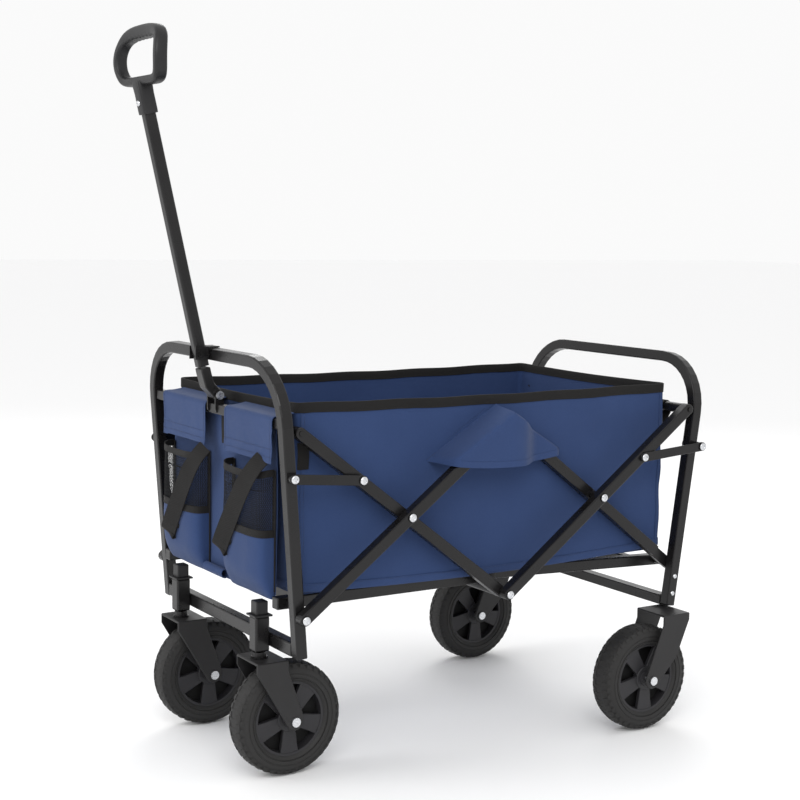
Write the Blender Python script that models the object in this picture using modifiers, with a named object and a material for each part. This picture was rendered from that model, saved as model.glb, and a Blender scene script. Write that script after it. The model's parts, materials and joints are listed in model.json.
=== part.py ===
"""Folding beach cart, built in metres, +Z up, front and handle towards -X."""
import math

import bmesh
import bpy
from mathutils import Matrix, Vector

# ---------------------------------------------------------------- driving dimensions
GAP = 0.0003
TUBE = 0.019
HALF = TUBE / 2
EDGE = 0.0022
LEG_Y = 0.2403
BAR_OUT_Y = LEG_Y + TUBE + 0.0005
BAR_A_Y = LEG_Y
BAR_C_Y = LEG_Y - 0.0103

SPAN = 0.7714
FOOT_Z = 0.281
TOP_Z = 0.571
CROSS_X = 0.1955
PIN_R = 0.0040
HOLE_R = 0.0044
HEAD_R = 0.0075

FRONT_LEAN = 0.0776
REAR_LEAN = 0.1374
FRONT_FOOT = 0.2142
REAR_FOOT = 0.2083
FRONT_TOP = 0.6705
REAR_TOP = 0.6505
BEND_R = 0.095
LINK_Z = 0.4993
LINK_IN = 0.2815
LINK_IN_Z = 0.4887

TUBE_R = 0.009
BIN_FRONT = -0.3762
BIN_REAR = 0.3760
BIN_HALF = 0.2165
BIN_FLOOR = 0.3075
BIN_HEM = 0.2955
BIN_TOP = 0.6094
CLOTH = 0.003
RAIL_Z = 0.2965

WHEEL_R = 0.0933
RIM_R = 0.0615
TREAD = 0.0455
FORK_HALF = 0.0370
FRONT_HUB = (-0.3571, 0.149)
REAR_HUB = (0.2968, 0.2605)
STEM_X = -0.4038
AXLE_R = 0.0050

BAR_UP_X = -0.4065
BAR_UP_Z = 0.580
BAR_UP = 0.016
HINGE = (-0.410, 0.603)
POLE_LOW = (-0.4310, 0.640)
POLE_TOP = (-0.5275, 1.0576)
GRIP_X = -0.5335
GRIP_TOP = 1.1865

BASE_PIN_Z = RAIL_Z
FRONT_RAIL_Y = 0.2025
REAR_RAIL_Y = 0.1825

# derived
HX = SPAN / 2
SLOPE = (TOP_Z - FOOT_Z) / HX
BC_Z = FOOT_Z + 2 * (SLOPE * (HX - CROSS_X)) - (TOP_Z - FOOT_Z)
P_Z = FOOT_Z + SLOPE * (HX - CROSS_X)
A_TOP_Z = BC_Z + SLOPE * HX
SIDES = (("near", -1), ("far", 1))

for old in list(bpy.data.objects):
    bpy.data.objects.remove(old)

PARTS = bpy.data.collections.new("beach_cart")
CUTS = bpy.data.collections.new("cutters")
bpy.context.scene.collection.children.link(PARTS)
bpy.context.scene.collection.children.link(CUTS)
ROOT = bpy.data.objects.new("root", None)
PARTS.objects.link(ROOT)
BODIES = {}


def front_x(z):
    return -HX - FRONT_LEAN * (z - FOOT_Z)


def rear_x(z):
    return HX + REAR_LEAN * (z - FOOT_Z)


# ---------------------------------------------------------------- materials
def material(name, rgb, metallic, rough):
    mat = bpy.data.materials.new(name)
    mat.use_nodes = True
    node = mat.node_tree.nodes["Principled BSDF"]
    node.inputs["Base Color"].default_value = (*rgb, 1)
    node.inputs["Metallic"].default_value = metallic
    node.inputs["Roughness"].default_value = rough
    return mat


BLACK = ("steel_black", (0.032, 0.030, 0.031), 0.4, 0.42)
ZINC = ("zinc", (0.62, 0.63, 0.65), 1.0, 0.32)
PLASTIC = ("plastic_black", (0.022, 0.022, 0.023), 0.0, 0.55)
RUBBER = ("tyre_black", (0.018, 0.018, 0.018), 0.0, 0.75)
FABRIC = ("fabric_blue", (0.055, 0.085, 0.19), 0.0, 0.9)
MESHY = ("mesh_black", (0.02, 0.022, 0.03), 0.0, 0.9)
WEB = ("webbing_black", (0.018, 0.017, 0.017), 0.0, 0.85)
BOARD = ("board_blue", (0.045, 0.07, 0.16), 0.0, 0.9)


# ---------------------------------------------------------------- shape helpers
def body(name, at):
    empty = bpy.data.objects.new("joint_" + name, None)
    empty.location = at
    empty.parent = ROOT
    PARTS.objects.link(empty)
    BODIES[name] = empty
    return empty


def obj_from(mesh, name):
    obj = bpy.data.objects.new(name, mesh)
    CUTS.objects.link(obj)
    return obj


def bake(obj, merge_flat=True):
    bpy.context.view_layer.update()
    deps = bpy.context.evaluated_depsgraph_get()
    mesh = bpy.data.meshes.new_from_object(obj.evaluated_get(deps), depsgraph=deps)
    mesh.transform(obj.matrix_world)
    name = obj.name
    bpy.data.objects.remove(obj)
    bm = bmesh.new()
    bm.from_mesh(mesh)
    bmesh.ops.remove_doubles(bm, verts=bm.verts, dist=0.00005)
    if merge_flat:
        bmesh.ops.dissolve_limit(bm, angle_limit=math.radians(0.4), verts=bm.verts, edges=bm.edges)
    bmesh.ops.recalc_face_normals(bm, faces=bm.faces)
    bm.to_mesh(mesh)
    bm.free()
    return obj_from(mesh, name)


def box(lo, hi, name="box"):
    bm = bmesh.new()
    bmesh.ops.create_cube(bm, size=1.0)
    size = [b - a for a, b in zip(lo, hi)]
    mid = [(a + b) / 2 for a, b in zip(lo, hi)]
    bmesh.ops.scale(bm, vec=size, verts=bm.verts)
    bmesh.ops.translate(bm, vec=mid, verts=bm.verts)
    mesh = bpy.data.meshes.new(name)
    bm.to_mesh(mesh)
    bm.free()
    return obj_from(mesh, name)


def basis(origin, e1, e2):
    e1 = Vector(e1).normalized()
    e2 = Vector(e2).normalized()
    e3 = e1.cross(e2)
    m = Matrix((e1, e2, e3)).transposed().to_4x4()
    m.translation = Vector(origin)
    return m


def slab(loops, thick, matrix, name="slab"):
    """A flat outline, with any further loops as its holes, given a thickness."""
    curve = bpy.data.curves.new(name, "CURVE")
    curve.dimensions = "2D"
    curve.fill_mode = "BOTH"
    curve.extrude = thick / 2
    for loop in loops:
        spline = curve.splines.new("POLY")
        spline.points.add(len(loop) - 1)
        for point, (u, v) in zip(spline.points, loop):
            point.co = (u, v, 0, 1)
        spline.use_cyclic_u = True
    obj = bpy.data.objects.new(name, curve)
    CUTS.objects.link(obj)
    obj.matrix_world = matrix
    return bake(obj, len(loops) == 1)


def xz_slab(loops, y, thick, name="slab"):
    return slab(loops, thick, basis((0, y, 0), (1, 0, 0), (0, 0, 1)), name)


def lathe(profile, matrix, seg, name="lathe"):
    """A profile of (radius, height) pairs, top to bottom, turned about local Z."""
    mesh = bpy.data.meshes.new(name)
    pts = [(r, 0, h) for r, h in profile]
    mesh.from_pydata(pts, [(i, i + 1) for i in range(len(pts) - 1)], [])
    obj = obj_from(mesh, name)
    mod = obj.modifiers.new("turn", "SCREW")
    mod.axis = "Z"
    mod.steps = seg
    mod.render_steps = seg
    mod.use_merge_vertices = True
    mod.merge_threshold = 0.00005
    obj.matrix_world = matrix
    return bake(obj)


def y_matrix(x, z, side=1):
    """Local Z points along +Y, or along -Y on the near side."""
    return basis((x, 0, z), (1, 0, 0), (0, 0, -side))


def pin(x, z, side, steps, seg=12):
    """Coaxial steps (radius, outer y, inner y), outermost first, as one turned solid."""
    prof = [(0, steps[0][1])]
    for r, y1, y0 in steps:
        prof += [(r, y1), (r, y0)]
    prof.append((0, steps[-1][2]))
    return lathe(prof, y_matrix(x, z, side), seg, "pin")


def rod(p0, p1, r, seg=16, name="rod"):
    a = Vector(p0)
    b = Vector(p1)
    d = (b - a).normalized()
    side = Vector((0, 1, 0)) if abs(d.y) < 0.9 else Vector((1, 0, 0))
    e1 = side.cross(d).normalized()
    m = basis(a, e1, d.cross(e1))
    n = (b - a).length
    return lathe([(0, n), (r, n), (r, 0), (0, 0)], m, seg, name)


def merge(objs, name="tool"):
    bm = bmesh.new()
    for obj in objs:
        bm.from_mesh(obj.data)
        bpy.data.objects.remove(obj)
    mesh = bpy.data.meshes.new(name)
    bm.to_mesh(mesh)
    bm.free()
    return obj_from(mesh, name)


def arc(cx, cy, r, a0, a1, n):
    out = []
    for i in range(n + 1):
        a = math.radians(a0 + (a1 - a0) * i / n)
        out.append((cx + r * math.cos(a), cy + r * math.sin(a)))
    return out


def ring(cx, cy, r, n):
    return arc(cx, cy, r, 0, 360, n)[:-1]


def stadium(p, q, r, n=8):
    """Rounded strip between two points."""
    a = math.degrees(math.atan2(q[1] - p[1], q[0] - p[0]))
    return arc(q[0], q[1], r, a - 90, a + 90, n) + arc(p[0], p[1], r, a + 90, a + 270, n)


def round_rect(x0, y0, x1, y1, r, n=4):
    out = arc(x1 - r, y0 + r, r, -90, 0, n)
    out += arc(x1 - r, y1 - r, r, 0, 90, n)
    out += arc(x0 + r, y1 - r, r, 90, 180, n)
    out += arc(x0 + r, y0 + r, r, 180, 270, n)
    return out


def strip(path, r):
    """Outline of constant half width r along an open path, with a round first end."""
    left = []
    right = []
    for i, p in enumerate(path):
        a = Vector(path[max(i - 1, 0)])
        b = Vector(path[min(i + 1, len(path) - 1)])
        d = (b - a).normalized()
        n = Vector((-d.y, d.x))
        k = r
        if 0 < i < len(path) - 1:
            d0 = (Vector(p) - a).normalized()
            k = r / max(n.dot(Vector((-d0.y, d0.x))), 0.5)
        left.append((p[0] + n.x * k, p[1] + n.y * k))
        right.append((p[0] - n.x * k, p[1] - n.y * k))
    d = Vector(path[1]) - Vector(path[0])
    a = math.degrees(math.atan2(d.y, d.x))
    cap = arc(path[0][0], path[0][1], r, a + 90, a + 270, 8)[1:-1]
    return right + left[::-1] + cap


def bevel(obj, width=EDGE, seg=2, angle=50):
    mod = obj.modifiers.new("edges", "BEVEL")
    mod.width = width
    mod.segments = seg
    mod.limit_method = "ANGLE"
    mod.angle_limit = math.radians(angle)
    mod.use_clamp_overlap = True
    mod.harden_normals = False
    return obj


def boolean(obj, tool, op):
    tool.hide_render = True
    tool.display_type = "WIRE"
    tool.parent = ROOT
    tool.name = obj.name + "_" + op.lower()[:3]
    mod = obj.modifiers.new(op.lower(), "BOOLEAN")
    mod.operation = op
    mod.solver = "EXACT"
    mod.object = tool
    return obj


def cut(obj, *tools):
    return boolean(obj, merge(tools), "DIFFERENCE")


def add(obj, *tools):
    return boolean(obj, merge(tools), "UNION")


def part(obj, name, mat, group, smooth=35):
    obj.name = name
    obj.data.name = name
    CUTS.objects.unlink(obj)
    PARTS.objects.link(obj)
    at = BODIES[group].location
    obj.parent = BODIES[group]
    obj.location = (-at[0], -at[1], -at[2])
    tone = material(name, *mat[1:])
    obj.data.materials.clear()
    obj.data.materials.append(tone)
    obj.data.shade_smooth()
    return obj


def y_hole(x, z, r=HOLE_R, lo=-0.3, hi=0.3, seg=12):
    return rod((x, lo, z), (x, hi, z), r, seg)


# ---------------------------------------------------------------- joint frames
body("front_frame", (0, 0, 0))
body("b_bars", (-HX, 0, FOOT_Z))
body("a_bars", (-CROSS_X, 0, P_Z))
body("c_bars", (0, 0, TOP_Z))
body("d_bars", (CROSS_X, 0, P_Z))
body("front_hanger", (-HX, 0, A_TOP_Z))
body("rear_hanger", (HX, 0, A_TOP_Z))
body("front_links", (front_x(LINK_Z), 0, LINK_Z))
body("rear_links", (rear_x(LINK_Z), 0, LINK_Z))
body("base_front", (-HX, 0, BASE_PIN_Z))
body("base_rear", (HX, 0, FOOT_Z))
body("rear_frame", (HX, 0, FOOT_Z))
body("handle", (HINGE[0], 0, HINGE[1]))
for tag, s in SIDES:
    body("caster_" + tag, (STEM_X, s * FRONT_HUB[1], 0))
    body("wheel_front_" + tag, (FRONT_HUB[0], s * FRONT_HUB[1], WHEEL_R))
    body("wheel_rear_" + tag, (REAR_HUB[0], s * REAR_HUB[1], WHEEL_R))


# ---------------------------------------------------------------- hoops and crossbars
def hoop(x_at, lean, foot, top):
    """Two legs, two bends and a top bar as one bent square tube in a leaning plane."""
    k = math.hypot(1, lean)

    def outline(half, radius):
        s0 = (foot - FOOT_Z) * k
        s1 = (top - FOOT_Z) * k + half
        y = LEG_Y + half
        return [(-y, s0)] + arc(-y + radius, s1 - radius, radius, 180, 90, 9) + \
            arc(y - radius, s1 - radius, radius, 90, 0, 9) + [(y, s0)]

    loop = outline(HALF, BEND_R + HALF) + outline(-HALF, BEND_R - HALF)[::-1]
    plane = basis((x_at(FOOT_Z), 0, FOOT_Z), (0, 1, 0), (lean / k, 0, 1 / k))
    return bevel(slab([loop], TUBE, plane))


frame = hoop(front_x, -FRONT_LEAN, FRONT_FOOT, FRONT_TOP)
pins = []
for tag, s in SIDES:
    pins.append(pin(-HX, BASE_PIN_Z, s, [
        (0.0060, LEG_Y - HALF + 0.002, FRONT_RAIL_Y + HALF + 0.0005),
        (PIN_R, FRONT_RAIL_Y + HALF + 0.0005, FRONT_RAIL_Y - HALF - 0.0005),
        (0.0065, FRONT_RAIL_Y - HALF - 0.0005, FRONT_RAIL_Y - HALF - 0.0025)]))
cut(frame, y_hole(-HX, FOOT_Z), y_hole(front_x(LINK_Z), LINK_Z))
add(frame, *pins)
part(frame, "front_hoop", BLACK, "front_frame")

frame = hoop(rear_x, REAR_LEAN, REAR_FOOT, REAR_TOP)
pins = []
C_IN = BAR_C_Y - HALF
for tag, s in SIDES:
    pins.append(pin(HX, FOOT_Z, s, [
        (PIN_R, LEG_Y - HALF + 0.002, C_IN - GAP),
        (0.0060, C_IN - GAP, REAR_RAIL_Y + HALF + 0.0005),
        (PIN_R, REAR_RAIL_Y + HALF + 0.0005, REAR_RAIL_Y - HALF - 0.0005),
        (0.0065, REAR_RAIL_Y - HALF - 0.0005, REAR_RAIL_Y - HALF - 0.0025)]))
cut(frame, y_hole(rear_x(LINK_Z), LINK_Z))
add(frame, *pins)
part(frame, "rear_hoop", BLACK, "rear_frame")

IN_Y = LEG_Y - HALF - GAP
low = box((front_x(0.2265) - 0.0095, -IN_Y, 0.2155), (front_x(0.2265) + 0.0095, IN_Y, 0.2375))
part(bevel(low), "front_lower_crossbar", BLACK, "front_frame")
low = box((rear_x(0.2167) - 0.0095, -IN_Y, 0.2072), (rear_x(0.2167) + 0.0095, IN_Y, 0.2262))
part(bevel(low), "rear_lower_crossbar", BLACK, "rear_frame")

up = box((BAR_UP_X - BAR_UP / 2, -IN_Y + 0.0015, BAR_UP_Z - BAR_UP / 2),
         (BAR_UP_X + BAR_UP / 2, IN_Y - 0.0015, BAR_UP_Z + BAR_UP / 2))
bevel(up, 0.0015)
LEVER_HALF = 0.0125
lugs = []
for tag, s in SIDES:
    base = (HINGE[0], BAR_UP_Z)
    lugs.append(xz_slab([stadium(base, HINGE, 0.0075, 6)], s * (LEVER_HALF + 0.0022), 0.0030))
add(up, *lugs)
cut(up, y_hole(HINGE[0], HINGE[1]))
part(up, "front_upper_crossbar", BLACK, "front_frame")


# ---------------------------------------------------------------- scissor bars
def bar(p, q, y):
    return bevel(xz_slab([stadium(p, q, HALF)], y, TUBE))


A_TOP = (-HX, A_TOP_Z)
D_TOP = (HX, A_TOP_Z)
B_FOOT = (-HX, FOOT_Z)
C_FOOT = (HX, FOOT_Z)
P1 = (-CROSS_X, P_Z)
P2 = (CROSS_X, P_Z)
BC = (0, BC_Z)
TC = (0, TOP_Z)
OUT = BAR_OUT_Y + HALF
OUT_IN = BAR_OUT_Y - HALF
A_IN = BAR_A_Y - HALF
C_OUT = BAR_C_Y + HALF
HEAD = 0.0020

for tag, s in SIDES:
    # bar A: inner, from the front cross tube down to the bottom centre
    a = bar(A_TOP, BC, s * BAR_A_Y)
    cut(a, y_hole(*A_TOP), y_hole(*P1), y_hole(*BC))
    part(a, "bar_a_" + tag, BLACK, "a_bars")

    # bar B: outer, from the front foot up to the top centre
    b = bar(B_FOOT, TC, s * BAR_OUT_Y)
    add(b,
        pin(*B_FOOT, s, [(HEAD_R, OUT + HEAD, OUT - 0.001), (PIN_R, OUT - 0.001, A_IN - GAP),
                         (HEAD_R, A_IN - GAP, A_IN - GAP - HEAD)]),
        pin(*P1, s, [(HEAD_R, OUT + HEAD, OUT - 0.001), (PIN_R, OUT - 0.001, A_IN - GAP),
                     (HEAD_R, A_IN - GAP, A_IN - GAP - HEAD)]),
        pin(*TC, s, [(HEAD_R, OUT + HEAD, OUT - 0.001), (0.0085, OUT - 0.001, C_OUT + GAP),
                     (PIN_R, C_OUT + GAP, C_IN - GAP), (HEAD_R, C_IN - GAP, C_IN - 0.0016)]))
    part(b, "bar_b_" + tag, BLACK, "b_bars")

    # bar C: inner, from the top centre down to the rear foot, thinned beside the rear leg
    c = bar(TC, C_FOOT, s * BAR_C_Y)
    lo, hi = sorted((s * (LEG_Y - HALF - 0.0008), s * 0.26))
    thin = rod((HX, lo, FOOT_Z), (HX, hi, FOOT_Z), 0.050, 32)
    cut(c, thin)
    cut(c, y_hole(*C_FOOT), y_hole(*P2), y_hole(*TC))
    part(c, "bar_c_" + tag, BLACK, "c_bars")

    # bar D: outer, from the bottom centre up to the rear cross tube
    d = bar(BC, D_TOP, s * BAR_OUT_Y)
    add(d,
        pin(*P2, s, [(HEAD_R, OUT + HEAD, OUT - 0.001), (0.0085, OUT - 0.001, C_OUT + GAP),
                     (PIN_R, C_OUT + GAP, C_IN - GAP), (HEAD_R, C_IN - GAP, C_IN - 0.0016)]),
        pin(*BC, s, [(HEAD_R, OUT + HEAD, OUT - 0.001), (PIN_R, OUT - 0.001, A_IN - 0.012)]))
    cut(d, y_hole(*D_TOP))
    part(d, "bar_d_" + tag, BLACK, "d_bars")


# ---------------------------------------------------------------- cross tubes
def cross_tube(x, z, half, pin_to):
    """Round tube between two bars, its ends stepped down to pins that pass through them."""
    prof = [(0, pin_to), (PIN_R, pin_to), (PIN_R, half), (TUBE_R, half)]
    prof += [(r, -h) for r, h in reversed(prof)]
    return lathe(prof, y_matrix(x, z), 20)


part(cross_tube(-HX, A_TOP_Z, A_IN - 0.0005, BAR_A_Y + HALF + 0.0010),
     "front_cross_tube", BLACK, "front_hanger")
part(cross_tube(HX, A_TOP_Z, OUT_IN - 0.0005, OUT + 0.0020),
     "rear_cross_tube", BLACK, "rear_hanger")
low = rod((0, -A_IN + GAP, BC_Z), (0, A_IN - GAP, BC_Z), TUBE_R, 20)
sockets = []
for tag, s in SIDES:
    lo, hi = sorted((s * (A_IN - 0.0135), s * (A_IN + 0.01)))
    sockets.append(y_hole(0, BC_Z, lo=lo, hi=hi))
cut(low, *sockets)
part(low, "centre_cross_tube", BLACK, "a_bars")

# ---------------------------------------------------------------- link bars
LINK_HALF = 0.0080
LINK_T = 0.0030
for tag, s in SIDES:
    k1 = (front_x(LINK_Z), LINK_Z)
    q1 = (-LINK_IN, LINK_IN_Z)
    y0 = LEG_Y + HALF + 0.008
    leg_out = LEG_Y + HALF
    link = bevel(xz_slab([stadium(k1, q1, LINK_HALF)], s * (y0 + LINK_T / 2), LINK_T), 0.0006, 1)
    add(link,
        pin(*k1, s, [(HEAD_R, y0 + LINK_T + HEAD, y0 + 0.001), (0.0070, y0 + 0.001, leg_out + GAP),
                     (PIN_R, leg_out + GAP, A_IN - GAP), (HEAD_R, A_IN - GAP, A_IN - GAP - HEAD)]),
        pin(*q1, s, [(HEAD_R, y0 + LINK_T + HEAD, y0 + 0.001), (0.0070, y0 + 0.001, leg_out + 0.0005)]))
    part(link, "front_link_" + tag, BLACK, "front_links")

    k2 = (rear_x(LINK_Z), LINK_Z)
    q2 = (LINK_IN, LINK_IN_Z)
    y0 = OUT + 0.0010
    link = bevel(xz_slab([stadium(q2, k2, LINK_HALF)], s * (y0 + LINK_T / 2), LINK_T), 0.0006, 1)
    add(link,
        pin(*k2, s, [(HEAD_R, y0 + LINK_T + HEAD, y0 + 0.001), (0.0070, y0 + 0.001, leg_out + GAP),
                     (PIN_R, leg_out + GAP, A_IN - GAP), (HEAD_R, A_IN - GAP, A_IN - GAP - HEAD)]),
        pin(*q2, s, [(HEAD_R, y0 + LINK_T + HEAD, y0 + 0.001), (0.0050, y0 + 0.001, y0 - 0.0004)]))
    part(link, "rear_link_" + tag, BLACK, "rear_links")


# ---------------------------------------------------------------- folding base
def beam(lo, hi, matrix):
    """A tube with rounded edges, placed by a matrix."""
    obj = bevel(box(lo, hi), 0.0018)
    obj.matrix_world = matrix
    return bake(obj)


def ladder(x0, x1, y, rungs, matrix):
    """Two rails joined by rungs, welded into one frame."""
    rails = [beam((x0, s * y - HALF, -HALF), (x1, s * y + HALF, HALF), matrix) for _, s in SIDES]
    steps = [beam((x - HALF, -y, -HALF + 0.0006), (x + HALF, y, HALF - 0.0006), matrix) for x in rungs]
    add(rails[0], *steps)
    return add(rails[0], rails[1])


base = ladder(-0.405, 0.012, FRONT_RAIL_Y, (-0.355, -0.125), Matrix.Translation((0, 0, RAIL_Z)))
cut(base, y_hole(-HX, BASE_PIN_Z))
part(base, "base_front", BLACK, "base_front")

drop = RAIL_Z - FOOT_Z
run = math.hypot(HX, drop)
base = ladder(-0.012, run + 0.012, REAR_RAIL_Y, (0.125, 0.335),
              basis((0, 0, RAIL_Z), (HX, 0, -drop), (0, 1, 0)))
cut(base, y_hole(HX, FOOT_Z))
part(base, "base_rear", BLACK, "base_rear")


# ---------------------------------------------------------------- wheels and forks
def wheel(x, y, tag):
    m = basis((x, y, WHEEL_R), (1, 0, 0), (0, 0, -1))
    half = TREAD / 2
    prof = [(WHEEL_R, 0.012), (WHEEL_R - 0.0008, half - 0.0075), (WHEEL_R - 0.0045, half - 0.0018),
            (WHEEL_R - 0.011, half), (WHEEL_R - 0.021, half), (RIM_R + 0.004, half - 0.003),
            (RIM_R, half - 0.006)]
    prof = prof + [(r, -h) for r, h in reversed(prof)]
    prof.append(prof[0])
    tyre = lathe(prof, m, 48)
    part(tyre, "tyre_" + tag, RUBBER, "wheel_" + tag)

    rim = RIM_R - GAP
    windows = []
    r0 = 0.0165
    r1 = rim - 0.0085
    for i in range(5):
        mid = 72 * i
        windows.append(arc(0, 0, r1, mid - 27, mid + 27, 6) + arc(0, 0, r0, mid + 14, mid - 14, 2))
    hub = slab([ring(0, 0, rim, 40)] + windows, 0.030, m)
    add(hub, rod((x, y - 0.0335, WHEEL_R), (x, y + 0.0335, WHEEL_R), 0.0125, 16))
    cut(hub, rod((x, y - 0.04, WHEEL_R), (x, y + 0.04, WHEEL_R), AXLE_R + GAP, 12))
    part(hub, "hub_" + tag, PLASTIC, "wheel_" + tag)


def axle_bolt(x, y, tag, group):
    half = FORK_HALF + 0.0035
    prof = [(0, half), (0.0078, half), (0.0078, FORK_HALF + GAP), (AXLE_R, FORK_HALF + GAP)]
    prof += [(r, -h) for r, h in reversed(prof)]
    bolt = lathe(prof, basis((x, y, WHEEL_R), (1, 0, 0), (0, 0, -1)), 12)
    part(bolt, "axle_bolt_" + tag, ZINC, group)


def fork(outline, hub, top_t, tag, group, stem=None):
    """Pressed fork: a side profile through the full width, hollowed from below."""
    x, y = hub
    obj = xz_slab([outline], y, FORK_HALF * 2)
    bevel(obj, 0.0015, 1)
    top = max(p[1] for p in outline)
    tools = [box((x - 0.2, y - FORK_HALF + 0.003, -0.01), (x + 0.3, y + FORK_HALF - 0.003, top - top_t))]
    cut(obj, *tools)
    cut(obj, y_hole(x, WHEEL_R, AXLE_R + GAP, y - 0.05, y + 0.05))
    part(obj, "fork_" + tag, BLACK, group)


for tag, s in SIDES:
    x, y = FRONT_HUB
    y *= s
    wheel(x, y, "front_" + tag)
    plate_z = 0.1965
    side = [(-0.4255, plate_z), (-0.4255, 0.1800)]
    side += arc(x, WHEEL_R, 0.0145, 215, 360, 8)
    side += [(x + 0.0140, 0.1050), (-0.3700, 0.1790), (-0.3700, plate_z)]
    fork(side, (x, y), 0.0030, "front_" + tag, "caster_" + tag)
    axle_bolt(x, y, "front_" + tag, "caster_" + tag)

    prof = [(0, 0.2620), (0.0060, 0.2620), (0.0060, 0.2074), (0.0112, 0.2068), (0.0112, 0.1990),
            (0.0140, 0.1985), (0.0140, plate_z + GAP), (0, plate_z + GAP)]
    stem = lathe(prof, Matrix.Translation((STEM_X, y, 0)), 16)
    part(stem, "caster_stem_" + tag, ZINC, "caster_" + tag)

    h = 0.0125
    house = bevel(box((STEM_X - h, y - h, 0.2080), (STEM_X + h, y + h, 0.2650)), 0.003)
    cut(house, rod((STEM_X, y, 0.2), (STEM_X, y, 0.2630), 0.0063, 16))
    part(house, "caster_housing_" + tag, BLACK, "front_frame")
    cap = bevel(box((STEM_X - 0.0105, y - 0.0105, 0.2670), (STEM_X + 0.0105, y + 0.0105, 0.2900)), 0.002)
    add(cap, box((STEM_X - 0.0155, y - 0.0155, 0.2653), (STEM_X + 0.0155, y + 0.0155, 0.2680)))
    part(cap, "caster_cap_" + tag, PLASTIC, "front_frame")

    x, y = REAR_HUB
    y *= s
    wheel(x, y, "rear_" + tag)
    plate_z = 0.2065
    side = [(0.3190, plate_z), (0.3190, 0.1890)]
    side += arc(x, WHEEL_R, 0.0150, 170, 325, 8)
    side += [(0.3510, 0.1290), (0.3790, 0.1940), (0.3790, plate_z)]
    fork(side, (x, y), 0.0030, "rear_" + tag, "rear_frame")
    axle_bolt(x, y, "rear_" + tag, "rear_frame")

# ---------------------------------------------------------------- handle
axis = Vector((POLE_TOP[0] - POLE_LOW[0], 0, POLE_TOP[1] - POLE_LOW[1]))
pole_n = axis.length
axis.normalize()


def on_pole(z):
    return POLE_LOW[0] + (z - POLE_LOW[1]) * axis.x / axis.z


lever = xz_slab([strip([HINGE, (-0.4250, 0.6195), POLE_LOW, (on_pole(0.6480), 0.6480)], 0.0085)],
                0, LEVER_HALF * 2)
bevel(lever, 0.0020)
cut(lever, y_hole(HINGE[0], HINGE[1]))
part(lever, "handle_lever", BLACK, "handle")

h = HALF
cross = axis.cross(Vector((0, 1, 0)))
low_end = Vector((on_pole(0.6480), 0, 0.6480)) + axis * (GAP + 0.0025)
pole = slab([round_rect(-h, -h, h, h, 0.004, 3)], pole_n, basis(low_end + axis * pole_n / 2,
                                                               axis.cross(Vector((0, 1, 0))), (0, 1, 0)))
part(pole, "handle_pole", BLACK, "handle")

zb = 1.0935
half_ring = [(0.0, zb), (0.052, zb), (0.066, 1.0990), (0.0765, 1.1140), (0.0800, 1.1350),
             (0.0755, 1.1560), (0.0660, 1.1730), (0.0540, 1.1840), (0.0, GRIP_TOP)]
outer = [p for p in half_ring] + [(-y, z) for y, z in half_ring[-2:0:-1]]
inner_half = [(0.0, 1.1075), (0.0480, 1.1075), (0.0600, 1.1140), (0.0670, 1.1290),
              (0.0650, 1.1460), (0.0570, 1.1580), (0.0460, 1.1635), (0.0, 1.1640)]
inner = [p for p in inner_half] + [(-y, z) for y, z in inner_half[-2:0:-1]]
grip = slab([outer, inner], 0.0220, basis((GRIP_X, 0, 0), (0, 1, 0), (0, 0, 1)))
bevel(grip, 0.0035, 2)
neck_low = Vector((on_pole(1.0500), 0, 1.0500))
neck = slab([round_rect(-0.0130, -0.0130, 0.0130, 0.0130, 0.005, 3)], 0.0480,
            basis(neck_low + axis * 0.024, axis.cross(Vector((0, 1, 0))), (0, 1, 0)))
add(grip, neck)
sock = slab([round_rect(-h - GAP, -h - GAP, h + GAP, h + GAP, 0.004, 3)], pole_n + 0.0006,
            basis(low_end + axis * pole_n / 2, axis.cross(Vector((0, 1, 0))), (0, 1, 0)))
cut(grip, sock)
part(grip, "handle_grip", PLASTIC, "handle")

end = LEVER_HALF + 0.0042
bolt_prof = [(0, end + 0.0025), (0.0070, end + 0.0025), (0.0070, end), (PIN_R, end)]
bolt_prof += [(r, -q) for r, q in reversed(bolt_prof)]
part(lathe(bolt_prof, y_matrix(*HINGE), 12), "handle_hinge_bolt", ZINC, "front_frame")

# latch bracket: two tabs beside the pole, joined over the top bar of the hoop
TAB = HALF + 0.0008
top_z = FRONT_TOP + HALF + 0.0010
bracket = box((-0.4265, -TAB - 0.002, top_z), (-0.4080, TAB + 0.002, top_z + 0.0019))
tabs = []
for tag, s in SIDES:
    plate = [(-0.4510, 0.6620), (-0.4275, 0.6620), (-0.4275, top_z - 0.0004), (-0.4090, top_z + 0.0004),
             (-0.4090, top_z + 0.0024), (-0.4510, top_z + 0.0024)]
    tabs.append(xz_slab([plate], s * (TAB + 0.0010), 0.0020))
add(bracket, *tabs)
add(bracket, rod((-0.4420, -TAB - 0.0065, 0.6700), (-0.4420, -TAB + 0.0003, 0.6700), 0.0045, 12))
part(bracket, "latch_bracket", BLACK, "front_frame")

# ---------------------------------------------------------------- soft goods
shell = box((BIN_FRONT, -BIN_HALF, BIN_HEM), (BIN_REAR, BIN_HALF, BIN_TOP))
cut(shell, box((BIN_FRONT + CLOTH, -BIN_HALF + CLOTH, BIN_FLOOR + CLOTH),
               (BIN_REAR - CLOTH, BIN_HALF - CLOTH, BIN_TOP + 0.1)),
    box((BIN_FRONT - 0.1, -BIN_HALF + CLOTH, BIN_HEM - 0.1),
        (BIN_REAR + 0.1, BIN_HALF - CLOTH, BIN_FLOOR)))
part(shell, "bin", FABRIC, "front_hanger")

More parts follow.
